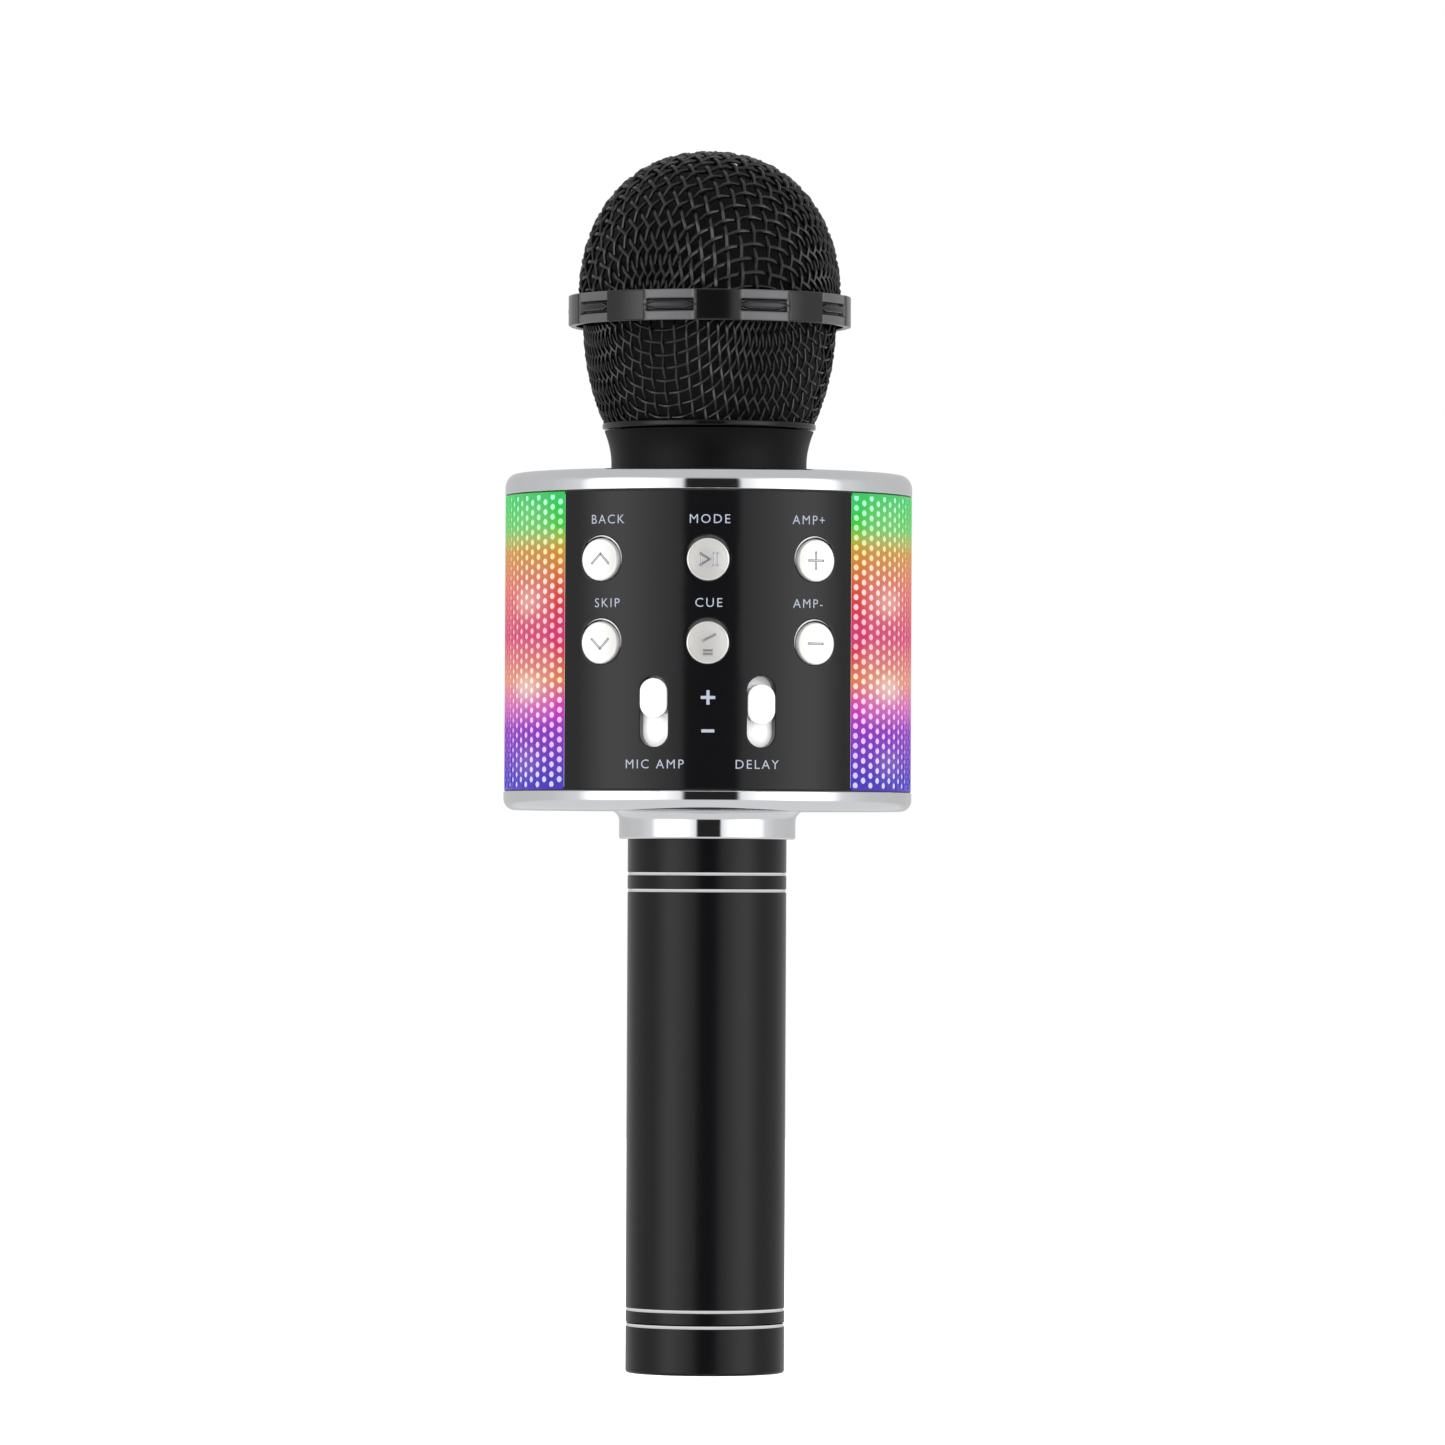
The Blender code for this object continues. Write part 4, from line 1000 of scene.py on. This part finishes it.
class MICROPHONE_OT_handle(bpy.types.Operator):
    """Enamelled tube and tail cap with bright-cut grooves"""

    bl_idname = "microphone.handle"
    bl_label = "Handle"

    def execute(self, context):
        enamel = surface("black_enamel")
        deep = 0.35
        floor = HANDLE_R - deep
        tube_line = [(HANDLE_BORE_R, HANDLE_TOP), (HANDLE_R, HANDLE_TOP)]
        grooves = (101.9, 98.5, 13.0)
        for z in grooves:
            tube_line += [(HANDLE_R, z + deep), (floor, z + deep), (floor, z - deep), (HANDLE_R, z - deep)]
        tube_line += [(HANDLE_R, 10.35), (HANDLE_BORE_R, 10.35)]
        outline = soften(tube_line, 0.06, 3)
        piece("handle_sleeve", lathe(outline), enamel, "handle", "black_enamel", ("handle_tube",))
        cap = [(0, 2.4), (12.0, 2.4), (12.0, 20.0), (14.0, 20.0), (14.0, 10.15), (floor, 10.15), (floor, 9.45)]
        cap += [(HANDLE_R, 9.45)] + arc(HANDLE_R - 0.6, 0.6, 0.6, 0.6, 0, -90, 8)
        cap += [(3.0, 0.0), (2.4, 0.35), (0, 0.35)]
        plug = lathe(soften(cap, 0.05, 2, closed=False), closed=False)
        piece("tail_plug", plug, enamel, "handle", "black_enamel", ("tail_cap",))
        rings = []
        for z in (*grooves, 9.8):
            # A shallow V, 0.6 mm wide, whose faces catch light from above and below.
            rim, root = HANDLE_R - 0.04, floor - 0.05
            cut = [(rim, z + 0.3), (HANDLE_R - 0.2, z), (rim, z - 0.3), (root, z - 0.3), (root, z + 0.3)]
            rings.append(lathe(np.array(cut)))
        piece("bright_cuts", join(rings), surface("bright_cut"), "handle", "steel", sharp=20)
        return {"FINISHED"}


# CAD nodes that stay as they are, by the start of their names.
INNER_FINISHES = {
    "tact_switch": "steel",
    "slide_pot": "steel",
    "neck_nut": "steel",
    "capsule_mount": "rubber",
    "mic_capsule": "steel",
    "grille_washer": "rubber",
    "battery_cell": "cell_wrap",
    "battery_carrier": "frame_plastic",
    "battery_": "steel",
    "led_strip": "circuit_board",
    "inner_frame": "frame_plastic",
    "frame_screw": "steel",
    "speaker_basket": "steel",
    "speaker_magnet": "magnet",
    "speaker_cone": "cone_paper",
    "speaker_dust_cap": "rubber",
    "main_board": "circuit_board",
    "port_board": "circuit_board",
    "key_flex": "flex_circuit",
    "charge_port": "steel",
    "audio_jack": "frame_plastic",
    "card_socket": "steel",
}


class MICROPHONE_OT_inner_parts(bpy.types.Operator):
    """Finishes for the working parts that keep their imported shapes"""

    bl_idname = "microphone.inner_parts"
    bl_label = "Inner Parts"

    def execute(self, context):
        for name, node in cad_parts.items():
            starts = (start for start in INNER_FINISHES if name.startswith(start))
            finish = INNER_FINISHES.get(next(starts, None), "frame_plastic")
            for place in node.material_slots:
                place.material = surface(finish)
        return {"FINISHED"}


# --- The stage ---

# The studio round the object by azimuth in degrees from the front: a narrow dark card at the camera, a soft
# window on each side, and a dimmer rear.
STUDIO = (
    *((0, 0.02), (14.5, 0.02), (17, 0.95), (33, 1.5), (50, 2.3)),
    *((60, 2.3), (80, 0.8), (100, 0.65), (137, 0.6)),
)


class MICROPHONE_OT_stage(bpy.types.Operator):
    """White floor, studio surround, soft lamps and the camera"""

    bl_idname = "microphone.stage"
    bl_label = "Stage"

    def execute(self, context):
        own = context.scene.microphone
        self.make_floor()
        self.make_surround(own.surround)
        for name, side in (("soft_lamp_left", -0.75), ("soft_lamp_right", 0.75)):
            self.make_lamp(name, (side, -1.35, 0.62), own.lamp_power, 0.7)
        self.make_lamp("top_lamp", (0.0, -0.35, 1.3), own.lamp_power * 0.6, 0.8)
        camera = bpy.data.cameras.new("camera")
        camera.sensor_width, camera.lens, camera.clip_end = 36.0, own.lens, 20.0
        stand_in = bpy.data.objects.new("camera", camera)
        stand_in.location = (own.camera_side, -own.camera_distance, own.camera_height)
        stand_in.rotation_euler = (radians(90) + own.tilt, own.roll, 0.0)
        context.scene.collection.objects.link(stand_in)
        context.scene.camera = stand_in
        context.scene.view_settings.view_transform = "Standard"
        return {"FINISHED"}

    @staticmethod
    def make_floor():
        """A round white floor, seen by the camera but not mirrored in the object."""
        q = np.linspace(0, 2 * pi, 97)
        points = np.concatenate([[(0, 0, 0)], np.stack([1.6 * np.cos(q), 1.6 * np.sin(q), 0 * q], -1)])
        mesh = bpy.data.meshes.new("floor")
        mesh.from_pydata(points.tolist(), [], [(0, i, i + 1) for i in range(1, 97)])
        floor = bpy.data.objects.new("floor", mesh)
        bpy.context.scene.collection.objects.link(floor)
        made, tree, out = empty_material("white_floor")
        shader = add_node(
            tree,
            "ShaderNodeBsdfPrincipled",
            {
                "Base Color": linear("#f2f2f2"),
                "Roughness": 0.9,
                "Emission Color": (1, 1, 1, 1),
                "Emission Strength": 0.85,
            },
        )
        tree.links.new(shader.outputs["BSDF"], out.inputs["Surface"])
        mesh.materials.append(made)
        floor.visible_glossy = False

    @staticmethod
    def make_surround(strength):
        """The world: what the object mirrors and is lit by depends on direction alone, and what shows behind it
        is plain white."""
        world = bpy.data.worlds.new("studio")
        world.use_nodes = True
        bpy.context.scene.world = world
        tree = world.node_tree
        tree.nodes.clear()
        # Turned 2 degrees, and its Y reversed so that it grows towards the front.
        way = add_node(tree, "ShaderNodeTexCoord").outputs["Generated"]
        swing = {"Vector": way, "Rotation": (0, 0, radians(2.0)), "Scale": (1, -1, 1)}
        turned = add_node(tree, "ShaderNodeMapping", swing).outputs["Vector"]
        x, y, z = add_node(tree, "ShaderNodeSeparateXYZ", {0: turned}).outputs
        side = add_node(tree, MATH, {0: x}, operation="ABSOLUTE").outputs[0]
        azimuth = add_node(tree, MATH, {0: side, 1: y}, operation="ARCTAN2").outputs[0]
        share = add_node(tree, "ShaderNodeMapRange", {"Value": azimuth, "From Max": pi}).outputs["Result"]
        ramp = add_node(tree, "ShaderNodeValToRGB", {"Fac": share})
        # The ramp holds a third of each level, because a ramp's colours end at 1.
        set_stops(ramp, [(place / 180, (level / 3, level / 3, level / 3, 1)) for place, level in STUDIO])
        level = add_node(tree, MATH, {0: ramp.outputs["Color"], 1: 3.0}, operation="MULTIPLY").outputs[0]
        # Even greys above and below: by height of direction, where each begins and is full, and its level.
        for start, full, grey in ((0.28, 0.52, 0.62), (-0.16, -0.34, 0.75)):
            low, high = min(start, full), max(start, full)
            span = {"Value": z, "From Min": low, "From Max": high}
            span |= {"To Min": float(low == full), "To Max": float(high == full)}
            share = add_node(tree, "ShaderNodeMapRange", span, interpolation_type="SMOOTHSTEP").outputs["Result"]
            mixed = {"Factor": share, 2: level, 3: grey}
            level = add_node(tree, "ShaderNodeMix", mixed, data_type="FLOAT").outputs[0]
        level = add_node(tree, MATH, {0: level, 1: strength}, operation="MULTIPLY").outputs[0]
        mirrored = add_node(tree, "ShaderNodeBackground", {"Color": (1, 1, 1, 1), "Strength": level})
        seen = add_node(tree, "ShaderNodeBackground", {"Color": (1, 1, 1, 1), "Strength": 1.0})
        camera_ray = add_node(tree, "ShaderNodeLightPath").outputs["Is Camera Ray"]
        sides = {0: camera_ray, 1: mirrored.outputs[0], 2: seen.outputs[0]}
        both = add_node(tree, "ShaderNodeMixShader", sides)
        out = add_node(tree, "ShaderNodeOutputWorld")
        tree.links.new(both.outputs[0], out.inputs["Surface"])

    @staticmethod
    def make_lamp(name, place, power, size):
        """A soft square lamp aimed at the barrel, which lights it without being mirrored."""
        lamp = bpy.data.lights.new(name, "AREA")
        lamp.energy, lamp.size = power, size
        thing = bpy.data.objects.new(name, lamp)
        spot = np.array(place)
        aim = np.array((0, 0, 0.13)) - spot
        flat = np.hypot(aim[0], aim[1])
        thing.location = place
        thing.rotation_euler = (np.arctan2(flat, -aim[2]), 0, np.arctan2(aim[1], aim[0]) - pi / 2)
        thing.visible_glossy = False
        bpy.context.scene.collection.objects.link(thing)


# --- Settings, panel and start ---


def value(label, description, default, **settings):
    """A number that a user may change."""
    return bpy.props.FloatProperty(name=label, description=description, default=default, **settings)


LENGTH = {"unit": "LENGTH", "precision": 5}
ANGLE = {"subtype": "ANGLE"}


class MicrophoneSettings(bpy.types.PropertyGroup):
    """Sizes and stage values that a user may change"""

    dome_pitch: value("Dome Pitch", "Distance between the dome's wires", 0.0029, **LENGTH)
    bowl_pitch: value("Bowl Pitch", "Distance between the bowl's wires", 0.0026, **LENGTH)
    wire_radius: value("Wire Radius", "Half the thickness of a dome wire", 0.00039, **LENGTH)
    wire_wave: value("Wire Wave", "How far a wire swings over and under its neighbours", 0.00034, **LENGTH)
    hole_pitch: value("Hole Pitch", "Rise between the light wrap's holes", 0.002, **LENGTH)
    hole_radius: value("Hole Radius", "Half the height of a light hole", 0.00065, **LENGTH)
    top_row: value("Top Legends", "Height of the upper row's legends", 0.1732, **LENGTH)
    second_row: value("Second Legends", "Height of the lower row's legends", 0.1564, **LENGTH)
    bottom_row: value("Slide Legends", "Height of the legends below the slides", 0.124, **LENGTH)
    letter_height: value("Letter Height", "Height of a capital", 0.0019, **LENGTH)
    camera_side: value("Camera Side", "How far the camera stands to the right", 0.00316, **LENGTH)
    camera_distance: value("Camera Distance", "How far the camera stands in front", 1.9, **LENGTH)
    camera_height: value("Camera Height", "Height of the camera", 0.1044, **LENGTH)
    lens: value("Lens", "Focal length in millimetres", 231.2)
    tilt: value("Tilt", "How far the camera looks up", radians(0.86), **ANGLE)
    roll: value("Roll", "How far the camera leans", radians(-0.27), **ANGLE)
    surround: value("Surround", "Brightness of the studio walls", 1.0)
    lamp_power: value("Lamp Power", "Power of each soft lamp", 8.0, unit="POWER")


OPERATORS = (
    MICROPHONE_OT_stage,
    MICROPHONE_OT_inner_parts,
    MICROPHONE_OT_wire_head,
    MICROPHONE_OT_head_band,
    MICROPHONE_OT_neck,
    MICROPHONE_OT_trim_rings,
    MICROPHONE_OT_light_wrap,
    MICROPHONE_OT_control_panel,
    MICROPHONE_OT_push_buttons,
    MICROPHONE_OT_slide_knobs,
    MICROPHONE_OT_rear_sockets,
    MICROPHONE_OT_handle,
)


class MICROPHONE_PT_pieces(bpy.types.Panel):
    """The microphone's settings and one button for each group of pieces"""

    bl_idname = "MICROPHONE_PT_pieces"
    bl_label = "Toy Microphone"
    bl_space_type = "VIEW_3D"
    bl_region_type = "UI"
    bl_category = "Microphone"

    def draw(self, context):
        own = context.scene.microphone
        for name in MicrophoneSettings.__annotations__:
            self.layout.prop(own, name)
        for operator in OPERATORS:
            self.layout.operator(operator.bl_idname)


def register():
    for kind in (MicrophoneSettings, *OPERATORS, MICROPHONE_PT_pieces):
        bpy.utils.register_class(kind)
    bpy.types.Scene.microphone = bpy.props.PointerProperty(type=MicrophoneSettings)


def unregister():
    del bpy.types.Scene.microphone
    for kind in (MICROPHONE_PT_pieces, *reversed(OPERATORS), MicrophoneSettings):
        bpy.utils.unregister_class(kind)


def main():
    register()
    for operator in OPERATORS:
        group, name = operator.bl_idname.split(".")
        if getattr(getattr(bpy.ops, group), name)() != {"FINISHED"}:
            raise RuntimeError(f"{operator.bl_idname} did not finish")


if __name__ == "__main__":
    main()
